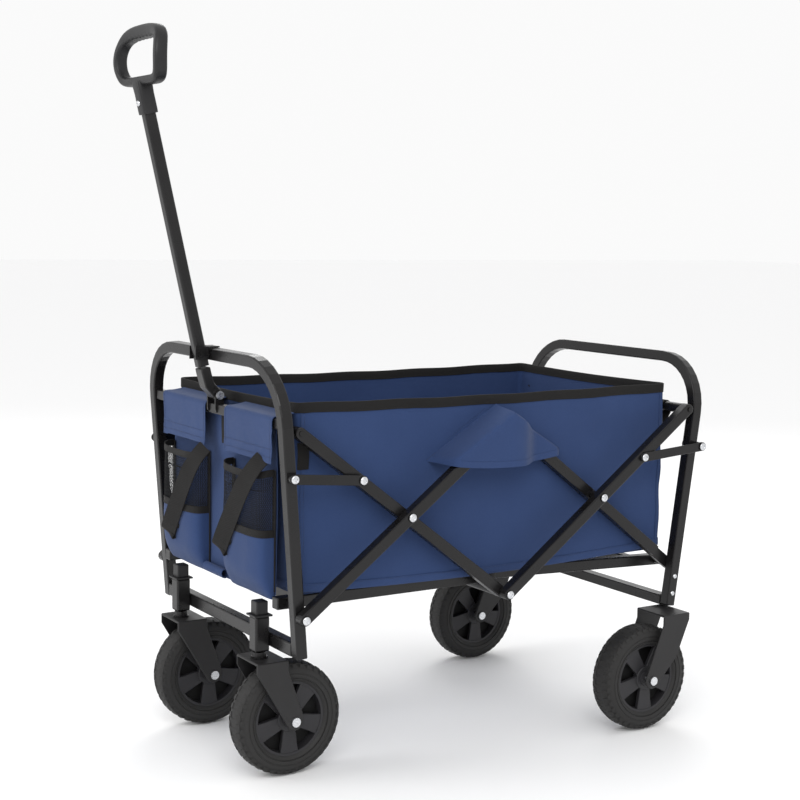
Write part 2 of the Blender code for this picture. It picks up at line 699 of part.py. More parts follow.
inset = 0.006
board = box((BIN_FRONT + CLOTH + inset, -BIN_HALF + CLOTH + inset, BIN_FLOOR + CLOTH + 0.0005),
            (BIN_REAR - CLOTH - inset, BIN_HALF - CLOTH - inset, BIN_FLOOR + CLOTH + 0.0055))
part(bevel(board, 0.001, 1), "floor_board", BOARD, "front_hanger")

APRON_X = BAR_UP_X + BAR_UP / 2 + GAP
apron = box((APRON_X, -0.190, 0.2975), (APRON_X + 0.0013, 0.190, BAR_UP_Z + 0.0055))
part(apron, "front_apron", FABRIC, "front_frame")

TENT_X = 0.139
TENT_LOW = 0.505
TENT_APEX = 0.597
TENT_RAMP = 0.0130


def tent(s):
    """A flap sewn to the bin wall along its two upper edges, standing out over the top crossing."""
    wall = BIN_HALF + GAP
    full = BAR_OUT_Y + HALF + 0.0025 + 0.0002 - wall
    slope = (TENT_APEX - TENT_LOW) / TENT_X
    lean = math.cos(math.atan(slope))
    cols = [0, 0.025, 0.050, 0.075, 0.095, 0.110, 0.124, TENT_X - 0.002]
    cols = [-x for x in cols[:0:-1]] + cols
    drops = [0, 0.0035, 0.0070, 0.0105, TENT_RAMP / lean, None, None]
    inner = []
    for x in cols:
        top = TENT_APEX - abs(x) * slope
        low = TENT_LOW - 0.0115 * (1 - (abs(x) / TENT_X) ** 2.2) - 0.0012
        reach = top - low
        steps = [min(d, reach * (0.15 * i + 0.05)) if i else 0 for i, d in enumerate(drops[:5])]
        steps += [steps[-1] + (reach - steps[-1]) * 0.5, reach]
        row = []
        for d in steps:
            f = min(1, d * lean / TENT_RAMP)
            row.append((x, wall + full * f * f * (3 - 2 * f), top - d))
        inner.append(row)
    n, m = len(inner), len(inner[0])
    verts = [(x, s * y, z) for row in inner for x, y, z in row]
    verts += [(x, s * (y + 0.0012), z) for row in inner for x, y, z in row]
    at = lambda i, j, k: k * n * m + i * m + j
    faces = []
    for i in range(n - 1):
        for j in range(m - 1):
            quad = [(i, j), (i + 1, j), (i + 1, j + 1), (i, j + 1)]
            faces.append([at(a, b, 0) for a, b in quad])
            faces.append([at(a, b, 1) for a, b in reversed(quad)])
        for j in (0, m - 1):
            faces.append([at(i, j, 0), at(i, j, 1), at(i + 1, j, 1), at(i + 1, j, 0)])
    for i in (0, n - 1):
        for j in range(m - 1):
            faces.append([at(i, j, 0), at(i, j + 1, 0), at(i, j + 1, 1), at(i, j, 1)])
    mesh = bpy.data.meshes.new("tent")
    mesh.from_pydata(verts, [], faces)
    return bake(obj_from(mesh, "tent"), False)


FLAPS = {"near": (-0.214, -0.050), "far": (0.022, 0.186)}
STRAPS = {"near": ((-0.184, 0.5150), (-0.072, 0.3650)), "far": ((0.022, 0.5050), (0.128, 0.3560))}
bar_front = BAR_UP_X - BAR_UP / 2
bar_top = BAR_UP_Z + BAR_UP / 2
t = 0.0015
for tag, s in SIDES:
    part(tent(s), "side_flap_" + tag, FABRIC, "front_hanger")

    y0, y1 = FLAPS[tag]
    flap = box((bar_front - GAP - t, y0, 0.5180), (APRON_X + 0.0013, y1, bar_top + GAP + t))
    cut(flap, box((bar_front - GAP, y0 - 0.01, 0.4), (0, y1 + 0.01, bar_top + GAP)))
    part(flap, "front_flap_" + tag, FABRIC, "front_frame")

    yi, yo = 0.046, 0.188
    xb, xf = APRON_X - GAP - 0.0003, -0.4300
    cr = 0.022
    loop = [(xb, s * yi), (xb, s * yo)] + \
        [(px, s * py) for px, py in arc(xf + cr, yo - cr, cr, 90, 180, 5)] + \
        [(px, s * py) for px, py in arc(xf + cr, yi + cr, cr, 180, 270, 5)]
    if s < 0:
        loop = loop[::-1]
    z0, z1 = 0.2975, 0.5040
    xy = basis((0, 0, (z0 + z1) / 2), (1, 0, 0), (0, 1, 0))
    pouch = bevel(slab([loop], z1 - z0, xy), 0.004, 1)
    w = 0.0025
    hollow = [(xb - w, s * (yi + w)), (xb - w, s * (yo - w))] + \
        [(px, s * py) for px, py in arc(xf + cr, yo - cr, cr - w, 90, 180, 5)] + \
        [(px, s * py) for px, py in arc(xf + cr, yi + cr, cr - w, 180, 270, 5)]
    if s < 0:
        hollow = hollow[::-1]
    xy = basis((0, 0, (z0 + z1) / 2 + 0.02), (1, 0, 0), (0, 1, 0))
    cut(pouch, slab([hollow], z1 - z0 + 0.04 - 2 * w, xy))
    part(pouch, "pouch_" + tag, MESHY, "front_frame")

    (ya, za), (yb, zb2) = STRAPS[tag]
    d = Vector((yb - ya, zb2 - za)).normalized()
    n = Vector((-d.y, d.x)) * 0.0125
    quad = [(ya - n.x, za - n.y), (yb - n.x, zb2 - n.y), (yb + n.x, zb2 + n.y), (ya + n.x, za + n.y)]
    part(slab([quad], 0.0015, basis((xf - 0.0013, 0, 0), (0, 1, 0), (0, 0, 1))),
         "front_strap_" + tag, WEB, "front_frame")

# ---------------------------------------------------------------- origin at the bottom centre
bpy.context.view_layer.update()
deps = bpy.context.evaluated_depsgraph_get()
low = Vector((1e9, 1e9, 1e9))
high = -low
for obj in PARTS.objects:
    if obj.type != "MESH":
        continue
    for corner in obj.evaluated_get(deps).bound_box:
        p = obj.matrix_world @ Vector(corner)
        low = Vector(map(min, low, p))
        high = Vector(map(max, high, p))
ROOT.location = (-(low.x + high.x) / 2, -(low.y + high.y) / 2, -low.z)
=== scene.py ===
"""The folding cart's detailed visual pieces, built round its CAD frame, with floor and light."""
import json
from math import atan, copysign, cos, exp, hypot, pi, radians, sin

import bmesh
import bpy
from mathutils import Matrix, Vector, noise

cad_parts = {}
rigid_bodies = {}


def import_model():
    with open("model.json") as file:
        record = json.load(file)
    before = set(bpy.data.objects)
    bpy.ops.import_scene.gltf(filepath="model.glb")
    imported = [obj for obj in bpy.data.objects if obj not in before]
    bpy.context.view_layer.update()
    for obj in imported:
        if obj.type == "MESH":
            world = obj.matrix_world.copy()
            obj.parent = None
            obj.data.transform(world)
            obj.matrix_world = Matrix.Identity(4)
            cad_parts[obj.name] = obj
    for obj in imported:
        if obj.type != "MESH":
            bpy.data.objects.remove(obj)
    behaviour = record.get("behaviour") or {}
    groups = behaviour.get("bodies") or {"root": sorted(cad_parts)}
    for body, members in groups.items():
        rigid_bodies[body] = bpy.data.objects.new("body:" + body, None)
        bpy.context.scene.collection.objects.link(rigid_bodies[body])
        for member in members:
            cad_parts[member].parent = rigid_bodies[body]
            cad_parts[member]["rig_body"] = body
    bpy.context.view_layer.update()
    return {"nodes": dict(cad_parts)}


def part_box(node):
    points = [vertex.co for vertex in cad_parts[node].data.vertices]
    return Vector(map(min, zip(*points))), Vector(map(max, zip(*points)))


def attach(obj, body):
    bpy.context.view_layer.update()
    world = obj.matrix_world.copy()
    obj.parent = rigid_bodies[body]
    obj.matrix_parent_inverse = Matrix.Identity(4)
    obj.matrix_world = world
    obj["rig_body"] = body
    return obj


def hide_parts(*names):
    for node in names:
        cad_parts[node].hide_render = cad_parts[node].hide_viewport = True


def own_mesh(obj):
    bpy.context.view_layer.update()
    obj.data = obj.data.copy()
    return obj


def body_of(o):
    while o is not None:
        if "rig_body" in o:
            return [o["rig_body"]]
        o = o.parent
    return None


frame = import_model()
NODES = frame["nodes"]
BIN_F, BIN_R, BIN_Y = -0.3762, 0.3760, 0.2165
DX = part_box("bin")[0][0] - BIN_F
SIDES = (("near", -1), ("far", 1))


def P(x, y, z):
    """A point given in the part's own coordinates, moved to the frame's."""
    return Vector((x + DX, y, z))


# ---- materials
def new_mat(name, rgb, rough, metallic=0.0):
    mat = bpy.data.materials.new(name)
    mat.use_nodes = True
    nt = mat.node_tree
    bsdf = nt.nodes["Principled BSDF"]
    bsdf.inputs["Base Color"].default_value = (*rgb, 1)
    bsdf.inputs["Roughness"].default_value = rough
    bsdf.inputs["Metallic"].default_value = metallic
    return mat, nt, bsdf


def coords(nt):
    return nt.nodes.new("ShaderNodeTexCoord").outputs["Object"]


def noise_node(nt, vec, scale, detail=3.0, rough=0.5):
    n = nt.nodes.new("ShaderNodeTexNoise")
    n.inputs["Scale"].default_value = scale
    n.inputs["Detail"].default_value = detail
    n.inputs["Roughness"].default_value = rough
    nt.links.new(vec, n.inputs["Vector"])
    return n.outputs["Fac"]


def ramp(nt, fac, lo, hi, a=0.3, b=0.7):
    r = nt.nodes.new("ShaderNodeMapRange")
    r.inputs["From Min"].default_value = a
    r.inputs["From Max"].default_value = b
    r.inputs["To Min"].default_value = lo
    r.inputs["To Max"].default_value = hi
    nt.links.new(fac, r.inputs["Value"])
    return r.outputs["Result"]


def two_tone(nt, fac, c0, c1):
    m = nt.nodes.new("ShaderNodeMix")
    m.data_type = "RGBA"
    m.inputs[6].default_value = (*c0, 1)
    m.inputs[7].default_value = (*c1, 1)
    nt.links.new(fac, m.inputs[0])
    return m.outputs[2]


def bump(nt, height, strength, distance, chain=None):
    b = nt.nodes.new("ShaderNodeBump")
    b.inputs["Strength"].default_value = strength
    b.inputs["Distance"].default_value = distance
    nt.links.new(height, b.inputs["Height"])
    if chain is not None:
        nt.links.new(chain, b.inputs["Normal"])
    return b.outputs["Normal"]


def math_node(nt, op, a, b=None):
    m = nt.nodes.new("ShaderNodeMath")
    m.operation = op
    for i, v in enumerate((a, b)):
        if v is None:
            continue
        if isinstance(v, (int, float)):
            m.inputs[i].default_value = v
        else:
            nt.links.new(v, m.inputs[i])
    return m.outputs[0]


def dress(nt, bsdf, tone, dark, light, rough, normal):
    """Joins one tone to the colour and the roughness, and a bump to the normal."""
    nt.links.new(two_tone(nt, ramp(nt, tone, 0, 1), dark, light), bsdf.inputs["Base Color"])
    nt.links.new(ramp(nt, tone, *rough), bsdf.inputs["Roughness"])
    nt.links.new(normal, bsdf.inputs["Normal"])


def powder(name, rgb, rough, grain=850.0, strength=0.16):
    """Powder coat or moulded plastic: fine orange peel, worn tone, uneven sheen."""
    mat, nt, bsdf = new_mat(name, rgb, rough)
    vec = coords(nt)
    bsdf.inputs["Specular IOR Level"].default_value = 0.32
    lighter = tuple(c * 1.35 + 0.001 for c in rgb)
    dress(nt, bsdf, noise_node(nt, vec, 16.0, 4.0), rgb, lighter, (rough - 0.05, rough + 0.07),
          bump(nt, noise_node(nt, vec, grain, 2.0), strength, 0.00025))
    return mat


def zinc(name):
    mat, nt, bsdf = new_mat(name, (0.66, 0.67, 0.69), 0.3, 1.0)
    n = noise_node(nt, coords(nt), 260.0, 4.0)
    dress(nt, bsdf, n, (0.56, 0.57, 0.59), (0.76, 0.77, 0.79), (0.22, 0.42),
          bump(nt, n, 0.12, 0.0002))
    return mat


def rubber(name):
    mat, nt, bsdf = new_mat(name, (0.011, 0.0105, 0.0105), 0.72)
    vec = coords(nt)
    dress(nt, bsdf, noise_node(nt, vec, 22.0, 5.0, 0.6), (0.0085, 0.0080, 0.0080),
          (0.0155, 0.0148, 0.0142), (0.62, 0.80), bump(nt, noise_node(nt, vec, 700.0, 3.0), 0.25, 0.0003))
    return mat


def woven(name, dark, light, pitch, rough=0.85, depth=0.00022, strength=0.55, twill=False, sheen=0.07):
    """A weave laid out on the piece's own UVs, which are in metres."""
    mat, nt, bsdf = new_mat(name, light, rough)
    bsdf.inputs["Sheen Weight"].default_value = sheen
    bsdf.inputs["Sheen Roughness"].default_value = 0.5
    bsdf.inputs["Specular IOR Level"].default_value = 0.25

    def calc(op, a, b=None):
        return math_node(nt, op, a, b)

    uv = nt.nodes.new("ShaderNodeUVMap")
    uv.uv_map = "metres"
    sep = nt.nodes.new("ShaderNodeSeparateXYZ")
    nt.links.new(uv.outputs["UV"], sep.inputs[0])
    k = pi / pitch
    u = calc("MULTIPLY", sep.outputs[0], k)
    v = calc("MULTIPLY", sep.outputs[1], k)
    if twill:
        u = calc("ADD", u, calc("MULTIPLY", sep.outputs[1], k * 0.5))
    su, sv = calc("SINE", u), calc("SINE", v)
    peak = calc("MAXIMUM", calc("ABSOLUTE", su), calc("ABSOLUTE", sv))
    over = calc("MULTIPLY", su, sv)
    height = calc("ADD", calc("MULTIPLY", peak, 0.6), calc("MULTIPLY", over, 0.4))
    obj = coords(nt)
    mottle = calc("ADD", calc("MULTIPLY", noise_node(nt, obj, 7.0, 4.0), 0.75),
                  calc("MULTIPLY", noise_node(nt, obj, 240.0, 3.0), 0.25))
    tone = ramp(nt, calc("ADD", calc("MULTIPLY", height, 0.30), mottle), 0, 1, 0.35, 1.0)
    nt.links.new(two_tone(nt, tone, dark, light), bsdf.inputs["Base Color"])
    crumple = bump(nt, noise_node(nt, obj, 26.0, 3.0), 0.22, 0.0030)
    nt.links.new(bump(nt, height, strength, depth, crumple), bsdf.inputs["Normal"])
    return mat


BLACK = powder("frame_powder_black", (0.0060, 0.0056, 0.0059), 0.26)
PLATE = powder("fork_powder_black", (0.0130, 0.0125, 0.0130), 0.42, 700.0, 0.2)
PLASTIC = powder("plastic_moulded_black", (0.0105, 0.0104, 0.0112), 0.42, 1400.0, 0.22)
HUBMAT = powder("plastic_wheel_grey", (0.0170, 0.0165, 0.0185), 0.45, 1100.0, 0.22)
# painted shade: the hub's web is coloured near black to stand for the shade inside the wheel's openings
WEB_SHADE_DARK = powder("wheel_web_painted_shade", (0.0012, 0.0012, 0.0013), 0.7, 1100.0, 0.1)
ZINC = zinc("zinc_plated_steel")
RUBBER = rubber("tyre_rubber")
BLUE = woven("oxford_blue", (0.017, 0.037, 0.108), (0.028, 0.055, 0.148), 0.0010)
LINING = woven("oxford_blue_lining", (0.018, 0.039, 0.112), (0.029, 0.057, 0.154), 0.0010)
TAPE = woven("webbing_black", (0.0050, 0.0046, 0.0046), (0.0125, 0.0115, 0.0112), 0.0018, 0.8,
             0.0004, 0.8, True, 0.03)
NET = woven("pocket_net_black", (0.0035, 0.0035, 0.0045), (0.0085, 0.0088, 0.0110), 0.0012, 0.8,
            0.0002, 0.4, False, 0.03)
THREAD = woven("stitch_thread_blue", (0.018, 0.030, 0.076), (0.040, 0.062, 0.140), 0.0006, 0.75)
THREAD_K = woven("stitch_thread_black", (0.010, 0.010, 0.0105), (0.022, 0.021, 0.021), 0.0006, 0.75)

NODE_LOOKS = (("hub_", HUBMAT), ("fork_", PLATE), ("axle_bolt", ZINC), ("handle_hinge_bolt", ZINC),
              ("tyre_", RUBBER), ("handle_grip", PLASTIC), ("caster_cap_", PLASTIC), ("", BLACK))
for name, node in NODES.items():
    for slot in node.material_slots:
        slot.material = next(look for start, look in NODE_LOOKS if name.startswith(start))


# ---- mesh helpers
def placed(name, data):
    obj = bpy.data.objects.new(name, data)
    bpy.context.scene.collection.objects.link(obj)
    return obj


def finish_mesh(name, bm, mat, smooth=True, sharp=None):
    mesh = bpy.data.meshes.new(name)
    bm.normal_update()
    bm.to_mesh(mesh)
    bm.free()
    obj = placed(name, mesh)
    mesh.materials.append(mat)
    if smooth:
        mesh.shade_smooth()
        if sharp:
            mesh.set_sharp_from_angle(angle=radians(sharp))
    return obj


def closed_mesh(name, bm, mat, smooth=True, sharp=None):
    """Turns all faces outward, then finishes the mesh."""
    bmesh.ops.recalc_face_normals(bm, faces=bm.faces)
    return finish_mesh(name, bm, mat, smooth, sharp)


def new_bm():
    bm = bmesh.new()
    return bm, bm.loops.layers.uv.new("metres")


def face_uv(bm, uvl, verts, uvs):
    for l, q in zip(bm.faces.new(verts).loops, uvs):
        l[uvl].uv = q


def spread(a, b, n):
    """n + 1 even steps from a to b."""
    return [a + (b - a) * k / n for k in range(n + 1)]


def clamp(t):
    return min(1, max(0, t))


def ease(t):
    return clamp(t) ** 2 * (3 - 2 * clamp(t))


def cloth(name, grid, thick, mat, loop=False):
    """A closed thin sheet on a grid of points, with UVs in metres."""
    bm, uvl = new_bm()
    n, m = len(grid), len(grid[0])
    nrm = []
    for i in range(n):
        row = []
        for j in range(m):
            a = grid[(i - 1) % n if loop else max(i - 1, 0)][j]
            b = grid[(i + 1) % n if loop else min(i + 1, n - 1)][j]
            c = grid[i][max(j - 1, 0)]
            d = grid[i][min(j + 1, m - 1)]
            row.append((b - a).cross(d - c).normalized())
        nrm.append(row)
    us = [0.0]
    mid = m // 2
    for i in range(1, n + (1 if loop else 0)):
        us.append(us[-1] + (grid[i % n][mid] - grid[i - 1][mid]).length)
    vs = [[0.0] for _ in range(n)]
    for i in range(n):
        for j in range(1, m):
            vs[i].append(vs[i][-1] + (grid[i][j] - grid[i][j - 1]).length)
    top = [[bm.verts.new(grid[i][j] + nrm[i][j] * thick / 2) for j in range(m)] for i in range(n)]
    low = [[bm.verts.new(grid[i][j] - nrm[i][j] * thick / 2) for j in range(m)] for i in range(n)]

    def face(verts, uvs):
        face_uv(bm, uvl, verts, uvs)

    steps = n if loop else n - 1
    for i in range(steps):
        k = (i + 1) % n
        for j in range(m - 1):
            q = [(us[i], vs[i][j]), (us[i + 1], vs[k][j]),
                 (us[i + 1], vs[k][j + 1]), (us[i], vs[i][j + 1])]
            face([top[i][j], top[k][j], top[k][j + 1], top[i][j + 1]], q)
            face([low[i][j + 1], low[k][j + 1], low[k][j], low[i][j]], q[::-1])
        for j in (0, m - 1):
            ids = [top[i][j], low[i][j], low[k][j], top[k][j]]
            if j:
                ids = ids[::-1]
            face(ids, [(us[i], vs[i][j])] * 4)
    if not loop:
        for i in (0, n - 1):
            for j in range(m - 1):
                ids = [top[i][j], top[i][j + 1], low[i][j + 1], low[i][j]]
                if i:
                    ids = ids[::-1]
                face(ids, [(us[i], vs[i][j])] * 4)
    return finish_mesh(name, bm, mat, True, 50)



def resample(path, step):
    out = [path[0].copy()]
    need = step
    for a, b in zip(path, path[1:]):
        seg = (b - a).length
        at = 0.0
        while seg - at >= need:
            at += need
            out.append(a.lerp(b, at / seg))
            need = step
        need -= seg - at
    if (out[-1] - path[-1]).length > step * 0.3:
        out.append(path[-1].copy())
    return out


def smooth_path(pts, n=10):
    """Catmull-Rom through the points."""
    out = []
    for i in range(len(pts) - 1):
        p0 = pts[max(i - 1, 0)]
        p1, p2 = pts[i], pts[i + 1]
        p3 = pts[min(i + 2, len(pts) - 1)]
        for k in range(n):
            t = k / n
            out.append(0.5 * ((2 * p1) + (p2 - p0) * t + (2 * p0 - 5 * p1 + 4 * p2 - p3) * t * t
                              + (3 * p1 - p0 - 3 * p2 + p3) * t * t * t))
    out.append(pts[-1].copy())
    return out


def band(name, path, across, width, thick, mat, step=0.004, cols=5):
    """Flat webbing laid along a path; across gives its sideways direction."""
    path = resample(path, step)
    grid = []
    for i, p in enumerate(path):
        t = (path[min(i + 1, len(path) - 1)] - path[max(i - 1, 0)]).normalized()
        a = across(i / (len(path) - 1)) if callable(across) else across
        a = (a - t * a.dot(t)).normalized()
        grid.append([p + a * width * (j / (cols - 1) - 0.5) for j in range(cols)])
    return cloth(name, grid, thick, mat)


def stitches(name, runs, mat, pitch=0.0042, length=0.0030, r=0.00032):
    """Rows of thread: runs are (path, normal function or vector)."""
    bm, uvl = new_bm()
    for path, normal in runs:
        pts = resample(path, pitch)
        for i in range(len(pts) - 1):
            t = (pts[i + 1] - pts[i])
            if t.length < pitch * 0.4:
                continue
            t.normalize()
            n = normal(pts[i]) if callable(normal) else normal
            s = t.cross(n).normalized()
            n = s.cross(t)
            c = (pts[i] + pts[i + 1]) / 2
            ring0 = []
            for e, k in ((-0.5, 0.35), (-0.3, 1.0), (0.3, 1.0), (0.5, 0.35)):
                at = c + t * length * e
                ring0.append([bm.verts.new(at + s * cos(a) * r * k * 1.25 + n * sin(a) * r * k)
                              for a in [pi / 2 * q + 0.785 for q in range(4)]])
            for a, b in zip(ring0, ring0[1:]):
                for q in range(4):
                    bm.faces.new([a[q], a[(q + 1) % 4], b[(q + 1) % 4], b[q]])
            bm.faces.new(ring0[0][::-1])
            bm.faces.new(ring0[-1])
    return closed_mesh(name, bm, mat)


def wave(x, y, seed, scale):
    return noise.noise(Vector((x * scale, y * scale, seed * 7.31)))


# ---- bin
HEM, TOP = 0.3035, 0.6088
COR = 0.010
FAB = 0.0012
FACE = FAB / 2 + 0.0003  # from the bin's outline in to the middle of its wall
PUSH_SIDE, PUSH_END = 0.0016, 0.0024  # the most that long walls and end walls belly out
SKIN = FACE + 0.0009


def on_side(y):
    return abs(y) > BIN_Y - 0.02


def bin_ring(step=0.012, inset=FACE):
    """Points round the bin wall, anticlockwise from the near front corner: (x, y, nx, ny)."""
    x0, x1, y1 = BIN_F + inset, BIN_R - inset, BIN_Y - inset
    c = COR
    out = []

    def line(a, b, n):
        d = (Vector(b) - Vector(a))
        k = max(2, int(d.length / step))
        for i in range(k):
            p = Vector(a) + d * (i / k)
            out.append((p.x, p.y, n[0], n[1]))

    def corner(cx, cy, a0):
        for i in range(5):
            a = radians(a0 + 90 * i / 5)
            out.append((cx + c * cos(a), cy + c * sin(a), cos(a), sin(a)))

    line((x0 + c, -y1), (x1 - c, -y1), (0, -1))
    corner(x1 - c, -y1 + c, -90)
    line((x1, -y1 + c), (x1, y1 - c), (1, 0))
    corner(x1 - c, y1 - c, 0)
    line((x1 - c, y1), (x0 + c, y1), (0, 1))
    corner(x0 + c, y1 - c, 90)
    line((x0, y1 - c), (x0, -y1 + c), (-1, 0))
    corner(x0 + c, -y1 + c, 180)
    return out


def corner_free(x, y):
    """0 in the corners of the bin, 1 away from them."""
    d = min(abs(x - BIN_F), abs(x - BIN_R)) + 1e-6 if on_side(y) else BIN_Y - abs(y)
    return clamp((d - 0.01) / 0.09)


def wall_push(x, y, z):
    """How far the wall's cloth stands in (-) or out (+) at rest."""
    t = (z - HEM) / (TOP - HEM)
    free = corner_free(x, y)
    hang = sin(pi * clamp(t)) ** 0.8
    belly = 0.0012 if on_side(y) else 0.0035
    w = 0.0030 * wave(x + y, z * 0.55, 1.0 if y < 0 else 2.0, 9.0)
    w += 0.0012 * wave(x + y, z, 3.0, 24.0)
    drag = 0.0016 * sin((x + y) * 46 + z * 70) * (1 - free) * hang
    return hang * free * (belly + w) + drag - 0.0006 * hang


def hem_z(x, y):
    """The wall's lower edge rises towards the four corners."""
    side = (abs(x + 0.02) / 0.38) ** 2
    end = (abs(y) / BIN_Y) ** 2
    return HEM + 0.0108 * (side if on_side(y) else 0.45 + 0.55 * end)


def top_sag(x, y):
    if on_side(y):
        u = (x - BIN_F) / (BIN_R - BIN_F)
        return -0.0035 * sin(pi * u) + 0.0006 * sin(u * 31)
    u = (y + BIN_Y) / (2 * BIN_Y)
    return -0.0030 * sin(pi * u)


def rim_z(x, y):
    return TOP + top_sag(x, y)


ring = bin_ring()
grid = []
for x, y, nx, ny in ring:
    col = []
    for z in spread(hem_z(x, y), rim_z(x, y), 25):
        d = min(PUSH_SIDE if on_side(y) else PUSH_END, wall_push(x, y, z))
        col.append(P(x + nx * d, y + ny * d, z))
    grid.append(col)
bin_wall = cloth("bin_wall", grid, FAB, BLUE, True)


def floor_half(name, x0, x1):
    return cloth(name, [[P(x, y, 0.3086 - 0.0007 * (0.5 + 0.5 * wave(x, y, 5, 20)))
                         for y in spread(0.003 - BIN_Y, BIN_Y - 0.003, 24)]
                        for x in spread(x0, x1, 22)], 0.0011, LINING)


SPLIT = 0.0006  # half the slit between the front and rear halves of the floor
bin_floors = [floor_half("bin_floor_front", BIN_F + 0.003, -SPLIT),
              floor_half("bin_floor_rear", SPLIT, BIN_R - 0.003)]



# bound edges: the rim tape and the hem, folded over the wall's edges
def folded_tape(name, z_edge, leg, up, mat, gap=0.0003, thick=0.0009):
    """A tape folded over an edge of the wall; z_edge(x, y) is the edge's height."""
    s = 1 if up else -1
    half = FAB / 2 + gap
    prof = [(half, -leg), (half + thick, -leg), (half + thick * 1.05, -leg * 0.5),
            (half + thick, -0.0004), (half * 0.7 + thick * 0.4, 0.0009)]
    prof += [(0, 0.0012)] + [(-o, h) for o, h in prof[::-1]] + [(-half, -0.0002), (half, -0.0002)]
    bm, uvl = new_bm()
    loops, us = [], []
    dist = 0.0
    prev = None
    for x, y, nx, ny in bin_ring(0.006):
        if prev is not None:
            dist += hypot(x - prev[0], y - prev[1])
        us.append(dist)
        prev = (x, y)
        z = z_edge(x, y)
        ripple = 0.00035 * wave(x + y, 0, 6, 60)
        cap = PUSH_SIDE if on_side(y) else PUSH_END
        row = []
        for o, h in prof:
            lift = o + (min(cap, wall_push(x, y, z + s * h)) if z + s * h >= HEM else 0)
            row.append(bm.verts.new(P(x + nx * lift, y + ny * lift,
                                      z + s * (h + ripple * (h < -leg * 0.4)))))
        loops.append(row)
    acc = [0.0]
    for a, b in zip(prof, prof[1:] + prof[:1]):
        acc.append(acc[-1] + hypot(a[0] - b[0], a[1] - b[1]))
    k = len(prof)
    for i in range(len(loops)):
        e = (i + 1) % len(loops)
        u0, u1 = us[i], us[e] if e else dist + 0.006
        for q in range(k):
            p = (q + 1) % k
            face_uv(bm, uvl, [loops[i][q], loops[e][q], loops[e][p], loops[i][p]],
                    [(u0, acc[q]), (u1, acc[q]), (u1, acc[q + 1]), (u0, acc[q + 1])])
    return closed_mesh(name, bm, mat, True, 50)


rim = folded_tape("bin_rim_tape", rim_z, 0.0150, True, TAPE)
hem = folded_tape("bin_hem", hem_z, 0.0120, False, BLUE)


def wall_line(z_of, out, s, long):
    """A line round one long or end wall, on its outer (out > 0) or inner face."""
    pts = []
    ends = (BIN_F + COR, BIN_R - COR) if long else (COR - BIN_Y, BIN_Y - COR)
    for t in spread(*ends, 90 if long else 50):
        x, y = (t, s * (BIN_Y - FACE)) if long else ((BIN_R if s > 0 else BIN_F) - s * FACE, t)
        z = z_of(x, y)
        d = s * (min(PUSH_SIDE if long else PUSH_END, wall_push(x, y, z)) + out)
        pts.append(P(x, y + d, z) if long else P(x + d, y, z))
    return pts


runs_k, runs_b = [], []
for s in (-1, 1):
    for long in (True, False):
        for o in (1, -1):
            n = Vector((0, s * o, 0) if long else (s * o, 0, 0))
            runs_k.append((wall_line(lambda x, y: rim_z(x, y) - 0.0132, o * SKIN, s, long), n))
            runs_b.append((wall_line(lambda x, y: hem_z(x, y) + 0.0103, o * SKIN, s, long), n))
rim_thread = stitches("bin_rim_stitching", runs_k, THREAD_K)
hem_thread = stitches("bin_hem_stitching", runs_b, THREAD)


def corner_path(x, s, lift, z0, z1):
    """A line down a long wall, near one of its ends."""
    y = s * (BIN_Y - FACE)
    return [P(x, y + s * (min(PUSH_SIDE, wall_push(x, y, z)) + FAB / 2 + lift), z)
            for z in spread(z0, z1, 27)]


# corner seams: a folded ridge down each corner of the bin, with two rows of thread
corner_parts, runs = [], []
for tag, s in SIDES:
    for word, end, xc in (("front", -1, BIN_F), ("rear", 1, BIN_R)):
        path = corner_path(xc - end * 0.011, s, 0.0006, HEM + 0.022, TOP - 0.017)
        corner_parts.append(band("bin_seam_%s_%s" % (tag, word), path, Vector((1, 0, 0)),
                                 0.0075, 0.0007, BLUE, 0.01, 3))
        for off in (0.0088, 0.0132):
            runs.append((corner_path(xc - end * off, s, 0.0011, HEM + 0.023, TOP - 0.018),
                         Vector((0, s, 0))))
seam_thread = stitches("bin_seam_stitching", runs, THREAD)

# ---- floor board: four hinged panels in two halves
FX0, FX1 = BIN_F + 0.0095, BIN_R - 0.0095
FY = BIN_Y - 0.0095
BOARD_LOW, BOARD_THREAD = 0.3109, 0.3162


def board_z(x, y):
    u = (x - FX0) / (FX1 - FX0) * 4
    seam = abs(u - round(u)) * (FX1 - FX0) / 4 if 0 < round(u) < 4 else 1.0
    edge = min(x - FX0, FX1 - x, FY - abs(y))
    h = 0.0052
    h -= 0.0034 * exp(-(seam / 0.0035) ** 2)
    h -= 0.0024 * max(0, 1 - edge / 0.006) ** 2
    return h + 0.0003 * wave(x, y, 8, 18)


